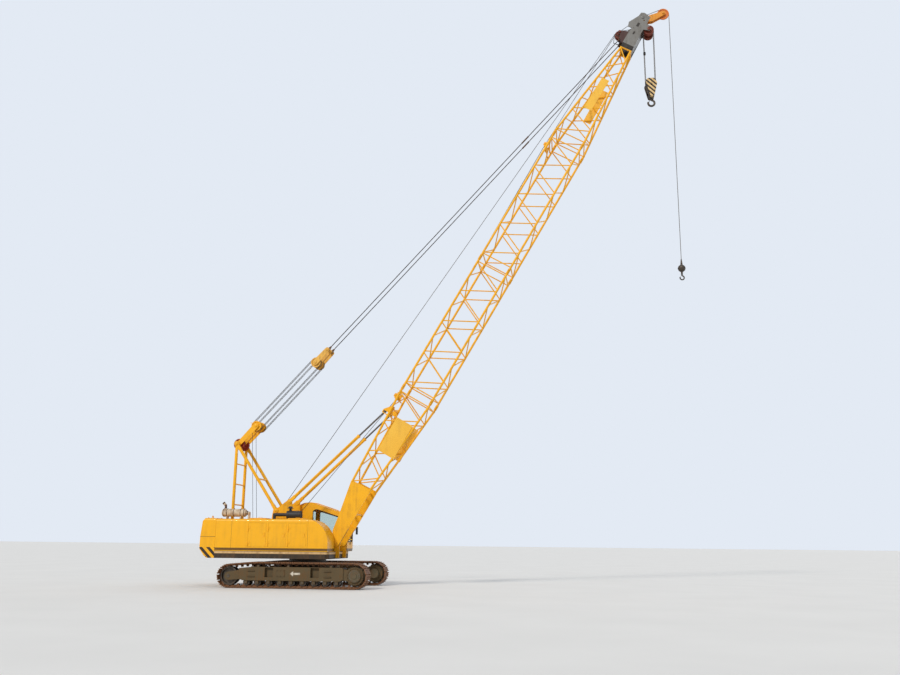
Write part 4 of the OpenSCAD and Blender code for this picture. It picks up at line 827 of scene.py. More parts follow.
# Muffler and air cleaner
# The muffler on the roof is wrapped in pale heat cloth held by steel bands, and
# its stack is sooty. The black air cleaner has clamp rings and a ribbed hose.
muffler_wrap, tree, shader = new_material("muffler_wrap")
spot = place_in(tree)
axes = axes_of(spot)
turn = maths("FRACT", times(maths("MULTIPLY_ADD", axes["Y"], 0.25, axes["X"]), 1 / 0.075))
cloth = noise(spot, 160.0, 2.0)
burnt = ramp(noise(spot, 4.5, 6.0), 0.45, 0.75)
tone = mixed(burnt, mixed(cloth, rgb("#d9c9b2"), rgb("#c9b79c")), rgb("#8f6b4a"))
lapped = mixed(ramp(turn, 0.9, 1.0), tone, rgb("#6a5743"))
feed(shader, ("Base Color", lapped), ("Roughness", 0.9))
relief(shader, maths("MULTIPLY_ADD", turn, -1.6, cloth), 0.5, 0.004)
dress(muffler_wrap, "muffler")
hot_steel = worn(
    "hot_steel", "#4a3527", "#6b4a33", "#2a1e17", dirt_share=0.6, chips=0.4, dull=0.5, scale=5.0, metal=0.4,
)


def ring(name, centre, way, radius, thick, width, sides=40):
    """A flat clamp band round an axis, open at its middle."""
    deselect()
    bpy.ops.mesh.primitive_cylinder_add(vertices=sides, radius=radius, depth=width, end_fill_type="NOTHING")
    bpy.context.object.name = name
    piece = modified(bpy.context.object, "SOLIDIFY", thickness=thick, offset=1)
    piece.data.transform(towards(centre, way))
    return piece


MUFFLER_Y, MUFFLER_Z, MUFFLER_R, STACK_X = -1.0, 2.7603, 0.15, -3.09
top = MUFFLER_Z + MUFFLER_R
parts = []
for x in (-3.14, -3.0, -2.725, -2.45, -2.31):
    parts.append(ring("band", at(x, MUFFLER_Y, MUFFLER_Z), (1, 0, 0), MUFFLER_R + 0.0005, 0.005, 0.022))
    screw = MUFFLER_Y - 0.02, top + 0.012
    parts.append(turned("band_screw", at(x - 0.02, *screw), at(x + 0.02, *screw), 0.006, sides=6))
# Sooty sleeve and ring of the stack, and flanges at the elbow and the roof: from, to, radius
for x0, z0, x1, z1, radius in (
    (STACK_X, top + 0.02, STACK_X, top + 0.16, 0.0415), (STACK_X, top + 0.05, STACK_X, top + 0.075, 0.05),
    (-2.2, MUFFLER_Z, -2.185, MUFFLER_Z, 0.078), (-2.13, ROOF, -2.13, ROOF + 0.012, 0.085),
):
    parts.append(turned("sleeve", at(x0, MUFFLER_Y, z0), at(x1, MUFFLER_Y, z1), radius, sides=24))
# Lip of the stack's slanting end
parts.append(ring("stack_lip", at(-3.176, MUFFLER_Y, top + 0.216), (-0.685, 0, 0.728), 0.0505, 0.004, 0.05, 24))
fixed("muffler_bands", parts, hot_steel, "upper", "muffler_grey")

MOULDED = ("#232325", "#343436", "#5d5446")
black_mould = worn("black_mould", *MOULDED, dirt_share=0.35, chips=0.0, dull=0.5, scale=5.0)
dress(black_mould, "air_cleaner")
CLEANER_Y, CLEANER_Z, INTAKE_X = -0.9, 2.7003, -0.52
parts = [
    ring("clamp", at(x, CLEANER_Y, CLEANER_Z), (1, 0, 0), radius + 0.0005, 0.006, 0.025)
    for x, radius in ((-0.55, 0.15), (-0.22, 0.15), (-0.12, 0.15), (-0.68, 0.06), (-1.06, 0.06))
]
# Ribs of the rubber hose, hoops under the rain cap, the dust valve and the cap's lid
for k in range(10):
    parts.append(ring("rib", at(-0.74 - 0.03 * k, CLEANER_Y, CLEANER_Z), (1, 0, 0), 0.06, 0.006, 0.014, 28))
for k in range(3):
    parts.append(ring("cap_hoop", at(INTAKE_X, CLEANER_Y, 2.84 + 0.022 * k), (0, 0, 1), 0.0455, 0.012, 0.008, 28))
for x, z0, z1, wide, narrow, sides in (
    (-0.13, CLEANER_Z - 0.14, CLEANER_Z - 0.172, 0.03, 0.012, 20), (INTAKE_X, 3.0223, 3.0093, 0.03, 0.058, 28),
):
    parts.append(turned("cap", at(x, CLEANER_Y, z0), at(x, CLEANER_Y, z1), wide, narrow, sides))
fixed("cleaner_clamps", parts, black_mould, "upper", "black_plastic")

# Cab
# A welded shell over the left front corner of the deck, yellow with the same
# olive band. Its laminated panes sit in black rubber and clear in the sun.
cab_paint = banded("cab_yellow", YELLOW, [(foot_band, OLIVE)], dirt_share=0.22, **SHEET)
dress(cab_paint, "cab_shell", "cab_door")


def pane_glass(name, tint, smear):
    """Clear laminated glass with wiped and unwiped smears."""
    material, tree, shader = new_material(name)
    rough = ramp(noise(place_in(tree), 6.0, 6.0), 0.45, 0.8, 0.01, smear)
    feed(shader, ("Base Color", rgb(tint)), ("Transmission Weight", 1.0), ("IOR", 1.12), ("Roughness", rough))
    return material


glass = pane_glass("cab_pane", "#dfe9e6", 0.18)
dress(glass, "cab_glass", "cab_door_glass")
CAB_RIGHT, CAB_LEFT, CAB_FRONT, CAB_REAR = 0.68, 1.64, 1.39, -0.7


def rounded(corners, radii):
    """Points round a flat outline, with an arc in six steps at each corner."""
    outline = []
    for i, (corner, radius) in enumerate(zip(corners, radii)):
        here = Vector(corner)
        to_last = (Vector(corners[i - 1]) - here).normalized()
        to_next = (Vector(corners[(i + 1) % len(corners)]) - here).normalized()
        half = to_last.angle(to_next) / 2
        middle = here + (to_last + to_next).normalized() * radius / sin(half)
        start = here + to_last * radius / (sin(half) / cos(half)) - middle
        stop = here + to_next * radius / (sin(half) / cos(half)) - middle
        for k in range(7):
            outline.append(middle + start.normalized().slerp(stop.normalized(), k / 6) * radius)
    return outline


def on_side(y):
    return lambda x, z: at(x, y, z)


def on_end(x):
    return lambda y, z: at(x, y, z)


# Rubber seals round the windows: name, body, wall, corners in the wall, rounded or not
seal_rubber = worn("seal_rubber", "#1d1d1f", "#2c2b2a", "#5d5446", dirt_share=0.3, chips=0.0, dull=0.65, scale=8.0)
for name, body, wall, corners, radii in (
    ("side_seal", "upper", on_side(CAB_RIGHT),
     [(0.2, 1.75), (1.27, 1.75), (1.27, 2.6), (0.06, 2.98), (-0.06, 2.9), (-0.06, 2.05)],
     [0.06, 0.06, 0.26, 0.16, 0.06, 0.06]),
    ("quarter_seal", "upper", on_side(CAB_LEFT), [(-0.56, 2.1), (-0.2, 2.1), (-0.2, 2.93), (-0.56, 2.88)],
     [0.05, 0.05, 0.05, 0.09]),
    ("door_seal", "cab_door", on_side(CAB_LEFT),
     [(-0.03, 2.0), (0.94, 2.0), (0.94, 2.64), (0.05, 2.89), (-0.03, 2.89)], [0.05, 0.05, 0.09, 0.06, 0.06]),
    ("front_seal", "upper", on_end(CAB_FRONT), [(0.77, 1.7), (1.55, 1.7), (1.55, 2.42), (0.77, 2.42)], [0.06] * 4),
    ("rear_seal", "upper", on_end(CAB_REAR), [(0.84, 2.1), (1.48, 2.1), (1.48, 2.85), (0.84, 2.85)], None),
):
    outline = [wall(a, b) for a, b in (rounded(corners, radii) if radii else corners)]
    fitted(rope(name, outline, 0.013, 1, closed=True), seal_rubber, body, "black_plastic", sharp=60)

# Wiper of the front pane: spindle, arm and rubber blade
spindle = turned("spindle", at(CAB_FRONT - 0.01, 1.16, 1.62), at(CAB_FRONT + 0.035, 1.16, 1.62), 0.018, 0.014)
arm, blade = (
    rope("arm", [at(CAB_FRONT + out, y, z) for out, y, z in bends], radius) for radius, bends in (
        (0.006, ((0.028, 1.16, 1.62), (0.032, 1.1, 1.9), (0.02, 1.06, 2.05))),
        (0.008, ((-0.008, 1.12, 1.8), (0.004, 1.06, 2.05), (-0.008, 1.0, 2.3))),
    )
)
fixed("wiper", [spindle, arm, blade], seal_rubber, "upper", "black_plastic")

# Grab rail that arches over the roof, and two work lamps
rail = [
    at(x, CAB_RIGHT + 0.12, z) for x, z in (
        (-0.6, 3.11), (-0.6, 3.17), (-0.45, 3.22), (-0.2, 3.24), (0.1, 3.2), (0.45, 3.09), (0.8, 2.98),
        (0.95, 2.93), (0.97, 2.88),
    )
]
fitted(rope("cab_rail", rail, 0.014, 2), cab_paint, "upper", "boom_yellow", sharp=60)
lens_glass = pane_glass("lamp_lens", "#e9edee", 0.3)
LAMP_X, LAMP_Z = 1.16, 2.91
for k, y in enumerate((0.85, 1.47)):
    block(f"lamp_case_{k}", at(LAMP_X, y - 0.07, LAMP_Z - 0.05), at(LAMP_X + 0.11, y + 0.07, LAMP_Z + 0.05))
    case = pressed(lambda middle, normal: normal.x > 0.9, 0.012, (-0.02, 0, 0))
    edit()
    pick("FACE", lambda middle, normal: normal.x < -0.9)
    bpy.ops.transform.resize(value=(1, 0.7, 0.7), center_override=at(LAMP_X, y, LAMP_Z))
    done()
    stem = turned("stem", at(LAMP_X + 0.04, y, 2.7), at(LAMP_X + 0.04, y, 2.87), 0.012)
    fixed(f"work_lamp_{k}", [eased(case, 0.006), stem], black_mould, "upper", "black_plastic")
    lens = turned(f"lamp_lens_{k}", at(LAMP_X + 0.09, y, LAMP_Z), at(LAMP_X + 0.102, y, LAMP_Z), 0.042, 0.034, 28)
    fitted(lens, lens_glass, "upper", "window_glass")


def divided(cuts):
    """Divides the newest piece's faces into a grid."""
    edit()
    bpy.ops.mesh.select_all(action="SELECT")
    bpy.ops.mesh.subdivide(number_cuts=cuts)
    return done()


# Two steps with a sunk grid up to the door, and the door's handle
parts = []
for z, out in ((1.12, 0.12), (1.3, 0.08)):
    block("tread", at(0.35, HOUSE_Y, z), at(0.75, HOUSE_Y + out, z + 0.022))
    divided(4)
    parts.append(pressed(facing_up, 0.006, (0, 0, -0.006), use_individual=True))
fixed("cab_steps", parts, deck_paint, "upper", "deck_black")
latch_black = worn("latch_black", *MOULDED, dirt_share=0.3, chips=0.0, dull=0.4, scale=6.0)
feet = at(0.86, CAB_LEFT - 0.002, 1.86), at(0.74, CAB_LEFT - 0.002, 1.86)
fitted(grip("door_grip", *feet, (0, 0.047, 0), 0.009), latch_black, "cab_door", "black_plastic", sharp=60)

# Seat and consoles
# The seat's foam pads are covered in black woven cloth with sewn seams, on
# moulded consoles, with a head rest on two bars and folded arm rests.
seat_cloth, tree, shader = new_material("seat_cloth")
spot = place_in(tree)
weft, warp = (
    wired(tree, "ShaderNodeTexWave", ("Vector", spot), ("Scale", 90.0), bands_direction=way).outputs["Fac"]
    for way in "ZY"
)
weave = times(weft, warp)
cloth = mixed(noise(spot, 5.0, 4.0), rgb("#232326"), rgb("#3a3936"))
woven = mixed(weave, cloth, rgb("#4b4a47"))
feed(shader, ("Base Color", woven), ("Roughness", 0.95), ("Sheen Weight", 0.3))
relief(shader, weave, 0.4, 0.002)
dress(black_mould, "cab_seat")
SEAT_Y, SEAT_Z = 1.16, 1.3806


def at_seat(x, y, z):
    """A point from the middle of the seat's foot."""
    return Vector(at(x, SEAT_Y + y, SEAT_Z + z))


def pad(name, low, high, thick, crown, lean=0.0):
    """A firm sewn pad: crowned, with two seams, its sides pulled in between the corners."""
    low, high = at_seat(*low), at_seat(*high)
    block(name, low, high)
    piece = divided(11)
    middle, half = (high + low) / 2, (high - low) / 2
    long = 2 - thick
    for vert in piece.data.vertices:
        across, length, out = ((vert.co[i] - middle[i]) / half[i] for i in (1, long, thick))
        vert.co[1] -= 0.012 * across * (1 - length ** 2)
        vert.co[long] -= 0.012 * length * (1 - across ** 2)
        if out > 0:
            sewn = 0.009 if abs(abs(across) - 0.5) < 0.01 and abs(length) < 0.9 else 0
            vert.co[thick] += out * (crown * (1 - across ** 2) * (1 - length ** 2) - sewn)
        vert.co.x -= lean * (vert.co.z - low.z)
    modified(piece, "SUBSURF", levels=1, render_levels=1)
    fitted(piece, seat_cloth, "upper", "black_plastic", sharp=60)


pad("seat_pad", (-0.06, -0.256, 0.322), (0.365, 0.256, 0.472), 2, 0.02)
pad("back_pad", (-0.215, -0.25, 0.325), (-0.04, 0.25, 1.065), 0, 0.02, 0.1)
pad("head_rest", (-0.3, -0.13, 1.1), (-0.2, 0.13, 1.28), 0, 0.012)
parts = [turned("bar", at_seat(-0.235, y, 1.0), at_seat(-0.245, y, 1.14), 0.008) for y in (-0.06, 0.06)]
for side in (-1, 1):
    y = side * 0.26
    rest = block("arm_rest", at_seat(-0.12, y - 0.025, 0.66), at_seat(0.2, y + 0.025, 0.71))
    parts.append(eased(rest, 0.015, 2))
    parts.append(turned("arm_bar", at_seat(-0.14, side * 0.22, 0.6), at_seat(-0.1, y, 0.68), 0.012))
fixed("seat_fittings", parts, black_mould, "upper", "black_plastic")
dress(black_mould, "mirrors")

# Gantry
# Two tube legs and an upright mast carry the top shaft of the luffing ropes
# behind the cab. The pins end in bolted plates, and a bow guards the sheaves.
boom_paint = worn("boom_yellow", *YELLOW, dirt_share=0.35, chips=0.3, dull=0.38, scale=1.3)
dress(boom_paint, "gantry_front_legs", "gantry_mast")
# The gantry's top shaft in X and Z, and the way from it to the boom head
GANTRY_X, GANTRY_Z = -2.97, 5.5
STAY_X, STAY_Z = 0.674, 0.7386


def on_stay(run, side=0.0, away=0.0):
    """Point on the line from the gantry's top to the boom head, away above it."""
    return Vector(at(GANTRY_X + STAY_X * run - STAY_Z * away, side, GANTRY_Z + STAY_Z * run + STAY_X * away))


def red_wheels(axes):
    """The top sheaves, between the yellow link plates."""
    rear = over(times(axes["X"], -1), 2.72 - slew)
    return times(rear, between(maths("ABSOLUTE", axes["Y"]), 0.16, 0.32))


gantry_paint = banded("gantry_yellow", YELLOW, [(red_wheels, "#8f2d1e")], scale=1.5, dull=0.38, coat=0.15)
dress(gantry_paint, "gantry_sheaves")

# Plate with three bolts over the end of a pin of radius 1, which all pins copy
turned("end_plate", (0, 0, -0.02), (0, 0, 0.2), 1.35, sides=28)
plate = pressed(facing_up, 0.1, (0, 0, 0.06))
end_plate = joined("end_plate", [plate] + [
    copied(bolt, Matrix.Translation((0.75 * cos(a), 0.75 * sin(a), 0.26)) @ Matrix.Scale(11, 4))
    for a in (0.4, 2.5, 4.6)
])


def pin_ends(name, spots, *finish):
    """End plates on both sides of the middle: point on the pin's axis, half its length, radius."""
    return fixed(name, [
        copied(end_plate, towards((point[0], side * y, point[2]), (0, side, 0), radius))
        for point, y, radius in spots for side in (-1, 1)
    ], *finish)


STOP_X, STOP_Z = -0.68, 3.22
pin_ends("gantry_pin_ends", [
    (at(-1.2, 0, 2.87), 0.6163, 0.04), (at(STOP_X, 0, STOP_Z), 0.6163, 0.04), (on_stay(0.0), 0.625, 0.05),
    (on_stay(1.0), 0.41, 0.045),
], boom_paint, "upper", "boom_yellow")
base, peak = on_stay(1.0, 0.0, 0.07), on_stay(0.95, 0.0, 0.235)
bow = [(foot.x, y, foot.z) for foot, y in ((base, -0.395), (peak, -0.395), (peak, 0.395), (base, 0.395))]
fitted(rope("sheave_guard", bow, 0.011), boom_paint, "upper", "boom_yellow")

# Backstops
# Two tubes with sliding rods keep the boom from falling back. A gland ring with
# a wiper closes each tube, and a grease line runs along it.
dress(boom_paint, "backstop_tubes")
rod_steel = worn(
    "rod_steel", "#57524d", "#6f6962", "#4a3424", dirt_share=0.4, chips=0.1, dull=0.3, scale=3.0, metal=0.8,
)
dress(rod_steel, "backstop_rods")
foot, eye = Vector(at(STOP_X, 0, STOP_Z)), Vector(at(3.034, 0, 6.75))
along = (eye - foot).normalized()
TUBE_R = 0.0605
parts = []
for side in (-1, 1):
    axle = foot + Vector((0, side * WEB_Y, 0))
    # Gland, wiper and the clips of the grease line: run, radius, thickness, width
    for run, radius, thick, width, sides in (
        (3.7, TUBE_R, 0.014, 0.06, 40), (3.737, 0.04, 0.018, 0.016, 40), (0.9, TUBE_R, 0.005, 0.03, 28),
        (1.9, TUBE_R, 0.005, 0.03, 28), (2.9, TUBE_R, 0.005, 0.03, 28),
    ):
        parts.append(ring("gland", axle + along * run, along, radius, thick, width, sides))
    out = Vector((0, side * 0.072, 0))
    parts.append(rope("grease_line", [axle + along * run + out for run in (0.5, 1.6, 2.7, 3.62)], 0.006))
fixed("backstop_glands", parts, boom_paint, "backstop_tubes", "boom_yellow")

# Boom sections
# Four lattice sections of round tube, pinned together at their chords' sleeves.
# Cross pins go through each pair of sleeves, held by a washer and a clip.
dress(boom_paint, "boom_base", "boom_insert_1", "boom_insert_2", "boom_top", "rope_guides")
LEAN_X, LEAN_Z = cos(radians(60)), sin(radians(60))
FOOT_X, FOOT_Z = 1.25, 1.66


def on_boom(along, back, side=0.0):
    """Point of the raised boom: along it from the foot pin, towards its back, aside."""
    return Vector(at(FOOT_X + along * LEAN_X - back * LEAN_Z, side, FOOT_Z + along * LEAN_Z + back * LEAN_X))


turned("chord_pin", (0, 0, -0.095), (0, 0, 0.095), 0.022)
shank = pressed(facing_up, 0.004, (0, 0, 0.006))
collar = turned("pin_head", (0, 0, 0.072), (0, 0, 0.088), 0.034, sides=20)
tail = turned("pin_washer", (0, 0, -0.078), (0, 0, -0.068), 0.034, sides=20)
clip = rope("pin_clip", [(0.03, 0, -0.083), (-0.028, 0, -0.083), (-0.036, 0, -0.089), (0.012, 0, -0.094)], 0.003)
chord_pin = joined("chord_pin", [shank, collar, tail, clip])
# The chords' places round the boom's middle line
HALF_D, HALF_W, MIDDLE = 0.65, 0.7, 0.19
for k, seam in enumerate((6.5, 12.6, 18.7)):
    fixed(f"chord_pins_{k}", [
        copied(chord_pin, towards(on_boom(seam + run, MIDDLE + back, side * HALF_W), (0, side, 0)))
        for run in (-0.045, 0.045) for side in (-1, 1) for back in (-HALF_D, HALF_D)
    ], boom_paint, "boom", "boom_yellow")

LOW_ROLLER, HIGH_ROLLER, FLANGE_U = (6.08, 1.05), (18.28, 1.05), 23.575
pin_ends("boom_pin_ends", [
    (at(FOOT_X, 0, FOOT_Z), 0.635, 0.035), (on_boom(*LOW_ROLLER), 0.272, 0.032), (on_boom(*HIGH_ROLLER), 0.272, 0.032),
], boom_paint, "boom", "boom_yellow")
spots = [
    (on_boom(FLANGE_U - 0.001, 0.11 + back, y), (-LEAN_X, 0, -LEAN_Z), 1.0)
    for y in (-0.3, -0.1, 0.1, 0.3) for back in (-0.225, 0.225)
]
bolt_rows("flange_bolts", spots, boom_paint, "boom", "boom_yellow")

# Sign boards
# Blank sheet boards on both sides of the boom, bolted to small brackets.
board_paint = worn("board_yellow", "#e9a92a", "#f2c04a", "#94703a", dirt_share=0.25, chips=0.1, dull=0.5)
dress(board_paint, "sign_boards")
spots = []
# Each pair of boards: from and to along, from and to across, place aside at both ends
for u0, u1, v0, v1, y0, y1 in ((3.86, 5.34, -0.3, 0.43, 0.6903, 0.7273), (20.3, 21.9, -0.01, 0.33, 0.6411, 0.5152)):
    slope = (y1 - y0) / (u1 - u0)
    for u in (u0 + 0.07, (u0 + u1) / 2, u1 - 0.07):
        y = y0 + slope * (u - u0) + 0.0005
        spots += [
            (on_boom(u, v, side * y), (-slope * LEAN_X, side, -slope * LEAN_Z), 0.55)
            for v in (v0 + 0.06, v1 - 0.06) for side in (-1, 1)
        ]
bolt_rows("board_bolts", spots, board_paint, "boom", "board_plastic")


# Boom head
# A box of thick plates in worn grey paint, its root painted near black as shade. Dark red sheaves
# turn below its front, and two guide sheaves stand on its back.
def along_boom(axes):
    across = maths("MULTIPLY_ADD", axes["X"], LEAN_X, (-slew - FOOT_X) * LEAN_X - FOOT_Z * LEAN_Z)
    return maths("MULTIPLY_ADD", axes["Z"], LEAN_Z, across)


# Painted shade: the head's root, below 23.83 m along the boom, is painted near black where it lies in shade.
def painted_shade_at_root(axes):
    return maths("SUBTRACT", 1, over(along_boom(axes), 23.83))


def guide_stand(axes):
    """The stand of the guide sheaves is as dark red as they are."""
    rise = maths("MULTIPLY_ADD", axes["X"], -LEAN_Z, (slew + FOOT_X) * LEAN_Z - FOOT_Z * LEAN_X)
    back = over(maths("MULTIPLY_ADD", axes["Z"], LEAN_X, rise), 0.385)
    return times(back, over(24.5, along_boom(axes)))


head_paint = banded(
    "head_grey", ("#6f6d69", "#868480", "#50453a"), [(painted_shade_at_root, "#27221e"), (guide_stand, "#452a26")],
    scale=1.5, dirt_share=0.4,
)
dress(head_paint, "boom_head")
sheave_red = worn("sheave_red", "#6a2a20", "#84402c", "#2e211b", dirt_share=0.6, chips=0.4, dull=0.45, scale=3.0)
dress(sheave_red, "head_sheaves")
# Axles of the head, along the boom and towards its back, and the sheaves' radii
HEAD, GUIDE, TIP, ARM, ROLLER = (24.87, -0.3), (24.2, 0.73), (25.93, -0.44), (25.23, 0.18), (25.345, 0.295)
HEAD_R, GUIDE_R, TIP_R, BLOCK_R, ROLLER_R = 0.2, 0.17, 0.235, 0.2, 0.055
spots = [(on_boom(*HEAD), 0.37, 0.055), (on_boom(*GUIDE), 0.37, 0.04)]
pin_ends("head_pin_ends", spots, sheave_red, "boom", "bare_steel")
CHEEK_Y = 0.345
parts = []
for side in (-1, 1):
    for u, v, long, wide in ((24.83, 0.19, 0.09, 0.05), (24.41, 0.17, 0.07, 0.035)):
        # Bolted cover over a grease point
        cover = block("cover", (u - long, side * CHEEK_Y, v - wide), (u + long, side * (CHEEK_Y + 0.008), v + wide))
        cover.data.transform(Matrix.Translation(on_boom(0, 0)) @ Matrix.Rotation(-radians(60), 4, "Y"))
        parts.append(eased(cover, 0.003))
guard = [on_boom(*spot) for spot in ((24, 0.62, -0.34), (23.98, 0.86, -0.34), (23.98, 0.86, 0.34), (24, 0.62, 0.34))]
parts.append(rope("guard", guard, 0.016))
cover_dark = worn("cover_dark", "#2b2826", "#3a3633", "#4a3b2e", dirt_share=0.4, chips=0.2, dull=0.5, scale=4.0)
fixed("head_covers", parts, cover_dark, "boom", "bare_steel")
spots = [
    (on_boom(u, v, side * CHEEK_Y), (0, side, 0), 0.9)
    for side in (-1, 1) for u, rows in ((23.68, (-0.1, 0.1, 0.3)), (24.62, (-0.03, 0.3)), (25.3, (-0.04, 0.3)))
    for v in rows
]
spots += [
    (on_boom(FLANGE_U + 0.0503, 0.11 + back, y), (LEAN_X, 0, LEAN_Z), 1.0)
    for y in (-0.2, 0.0, 0.2) for back in (-0.225, 0.225)
]
bolt_rows("head_bolts", spots, head_paint, "boom", "frame_green")

# Auxiliary arm
# Two orange cheeks on a cross tube through the head carry the sheave of the
# auxiliary rope, which comes over a small roller at the head's upper edge.
arm_paint = worn("arm_orange", "#dc8a22", "#e9a040", "#5e3a20", dirt_share=0.45, chips=0.4, dull=0.42, scale=2.5)
dress(arm_paint, "rooster_arm")
sheave_orange = worn(
    "sheave_orange", "#cf6a2a", "#e08844", "#5e3a22", dirt_share=0.45, chips=0.3, dull=0.42, scale=3.0,
)
dress(sheave_orange, "rooster_sheave")
pin_ends("tip_pin_ends", [(on_boom(*TIP), 0.14, 0.04)], arm_paint, "boom", "sheave_orange")
pin_ends("arm_pin_ends", [(on_boom(*ARM), 0.36, 0.05)], head_paint, "boom", "frame_green")
turned("edge_roller", on_boom(*ROLLER, -0.3), on_boom(*ROLLER, 0.3), ROLLER_R, sides=28)
roller = pressed(lambda middle, normal: abs(normal.y) > 0.9, 0.012, (0, 0, 0), use_individual=True)
edit()
pick("FACE", lambda middle, normal: abs(normal.y) > 0.9 and (middle - on_boom(*ROLLER, middle.y)).length < 0.03)
bpy.ops.transform.resize(value=(1, 0.955, 1), center_override=on_boom(*ROLLER))
done()
spindle = turned("roller_spindle", on_boom(*ROLLER, -0.318), on_boom(*ROLLER, 0.318), 0.02)
fixed("edge_roller", [roller, spindle], drum_iron, "boom", "bare_steel")


# Hoist ropes
# Each rope leaves its drum, runs along the back of the boom, and goes over the
# guide sheaves to its sheave at the head. Wire rope of 22 mm, drawn taut.
def course(wheels):
    """Points of a rope laid over wheels (x, z, radius, side, y); side 1 passes them on the left."""
    ways = []
    for (x0, z0, r0, s0, _), (x1, z1, r1, s1, _) in zip(wheels, wheels[1:]):
        far = sqrt((x1 - x0) ** 2 + (z1 - z0) ** 2)
        ways.append(atan2(z1 - z0, x1 - x0) - (pi / 2 - acos((s0 * r0 - s1 * r1) / far)))
    points = []
    for k, (x, z, radius, side, y) in enumerate(wheels):
        start, stop = ways[max(k - 1, 0)], ways[min(k, len(ways) - 1)]
        turn = (side * (start - stop)) % (2 * pi) if start != stop else 0
        steps = int(turn / radians(11)) + 1 if turn else 0
        for i in range(steps + 1):
            a = start - side * turn * i / max(steps, 1) + side * pi / 2
            points.append((x + radius * cos(a), y, z + radius * sin(a)))
    return points


def wheel(place, radius, side, y):
    """A wheel of the boom at (along, back), with the rope's middle in its groove."""
    spot = on_boom(*place)
    return spot.x, spot.z, radius + ROPE_R, side, y


def drum(place, coil, side, y):
    """A winch drum at (x, radius), with the rope's middle on it."""
    return slew + place[0], SHAFT_Z, place[1] + coil, side, y


def drop(from_wheel, y):
    """Where a fall leaves a wheel, as the end of a course."""
    return from_wheel[0] + from_wheel[2], from_wheel[1] - 0.01, 0, 1, y


def run_out(name, points, material, radius=ROPE_R, sides=1, body="boom"):
    return fitted(rope(name, points, radius, sides), material, body, "bare_steel", sharp=60)


def stretched(piece, material):
    """Paints a rope between the upper works and the boom and puts its place into its mesh."""
    piece.data.materials.append(material)
    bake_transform(piece)


main_guide, main_head = wheel(GUIDE, GUIDE_R, 1, -0.06), wheel(HEAD, HEAD_R, 1, -0.13)
aux_low, aux_tip = wheel(LOW_ROLLER, 0.044, -1, 0.06), wheel(TIP, TIP_R, 1, 0.0)
main_drum, aux_drum = drum(REAR_DRUM, ROPE_R, 1, -0.06), drum(FRONT_DRUM, ROPE_R, 1, 0.06)
for name, winch, target in (("main_lead", main_drum, main_guide), ("aux_lead", aux_drum, aux_low)):
    ends = course([winch, target])
    stretched(rope(name, ends), rope_wire)
run_out("main_rope", course([main_drum, main_guide, main_head, drop(main_head, -0.13)])[1:], rope_wire)
run_out("aux_rope", course([
    aux_drum, aux_low, wheel(HIGH_ROLLER, 0.044, 1, 0.06), wheel(GUIDE, GUIDE_R, 1, 0.06),
    wheel(ROLLER, ROLLER_R, 1, 0.02), aux_tip, drop(aux_tip, 0.0),
])[1:], rope_wire)

# Luffing ropes, bridle and pendants
# Twelve parts of rope hang between the spreader at the gantry and the floating
# bridle, from which two long pendants with forked sockets reach the boom head.
bridle_paint = worn("bridle_yellow", "#e0a437", "#ecbb5c", "#6d4a28", dirt_share=0.5, scale=2.5)
dress(bridle_paint, "bridle")
spots = [(on_stay(4.5), 0.41, 0.045), (on_stay(5.2), 0.41, 0.045)]
pin_ends("bridle_pin_ends", spots, bridle_paint, "boom", "boom_yellow")
pendant_steel = worn(
    "pendant_steel", "#4d4138", "#6b5540", "#5d3a22", dirt_share=0.6, chips=0.2, dull=0.5, scale=3.0, metal=0.4,
)
dress(pendant_steel, "pendants")
pendant_rope = strands("pendant_rope", "#4b443d", "#2e2721")
for side, end in SIDES:
    for name, start, stop in (("pendant_", 5.45, 17.06), ("pendant_top_", 17.44, 23.14)):
        run_out(name + end, [on_stay(start, side * 0.25), on_stay(stop, side * 0.25)], pendant_rope, 0.018, 2)
luff_rope = strands("luff_rope", "#62594f", "#3c352e")
LUFF_WHEEL = 0.19 + LUFF_ROPE
slant = atan2(STAY_Z, STAY_X)
for k, y in enumerate((-0.3, -0.22, -0.14, 0.14, 0.22, 0.3)):
    points = []
    for middle, start in ((on_stay(1.0), slant + pi / 2), (on_stay(4.5), slant - pi / 2)):
        for a in (start + pi * i / 12 for i in range(13)):
            points.append((middle.x + LUFF_WHEEL * cos(a), y, middle.z + LUFF_WHEEL * sin(a)))
    loop = rope(f"luffing_fall_{k}", points, LUFF_ROPE, closed=True)
    stretched(loop, luff_rope)
spreader = on_stay(1.0)
for side, end in SIDES:
    y = side * 0.22
    lead = course([drum(LUFF_DRUM, LUFF_COIL, -1, y), (spreader.x, spreader.z, LUFF_WHEEL, 1, y)])
    run_out("luffing_lead_" + end, lead, luff_rope, LUFF_ROPE, 1, "upper")

# Hook block
# Two cream cheeks with slanting black stripes hold the sheaves of the four
# falls. The forged hook turns in the crosshead and has a wire latch.
HOOK_DROP, FALL_Y, FALL_R = 2.48, 0.13, 0.0125
HOOK_X, HOOK_Z = on_boom(*HEAD).x, on_boom(*HEAD).z - HOOK_DROP


def stripes_and_painted_shade(axes):
    """Slanting stripes, and painted shade: a near black band along the edge of the cheek on the side of the cab."""
    shifted = maths("MULTIPLY_ADD", axes["Z"], 0.25, maths("SUBTRACT", axes["X"], HOOK_X + HOOK_Z * 0.25))
    # Painted shade: the edge of the cheek on the side of the cab is painted near black.
    edge = over(times(shifted, -1), 0.185)
    return maths("MAXIMUM", slanting(axes["X"], axes["Z"], pitch=0.2), edge)


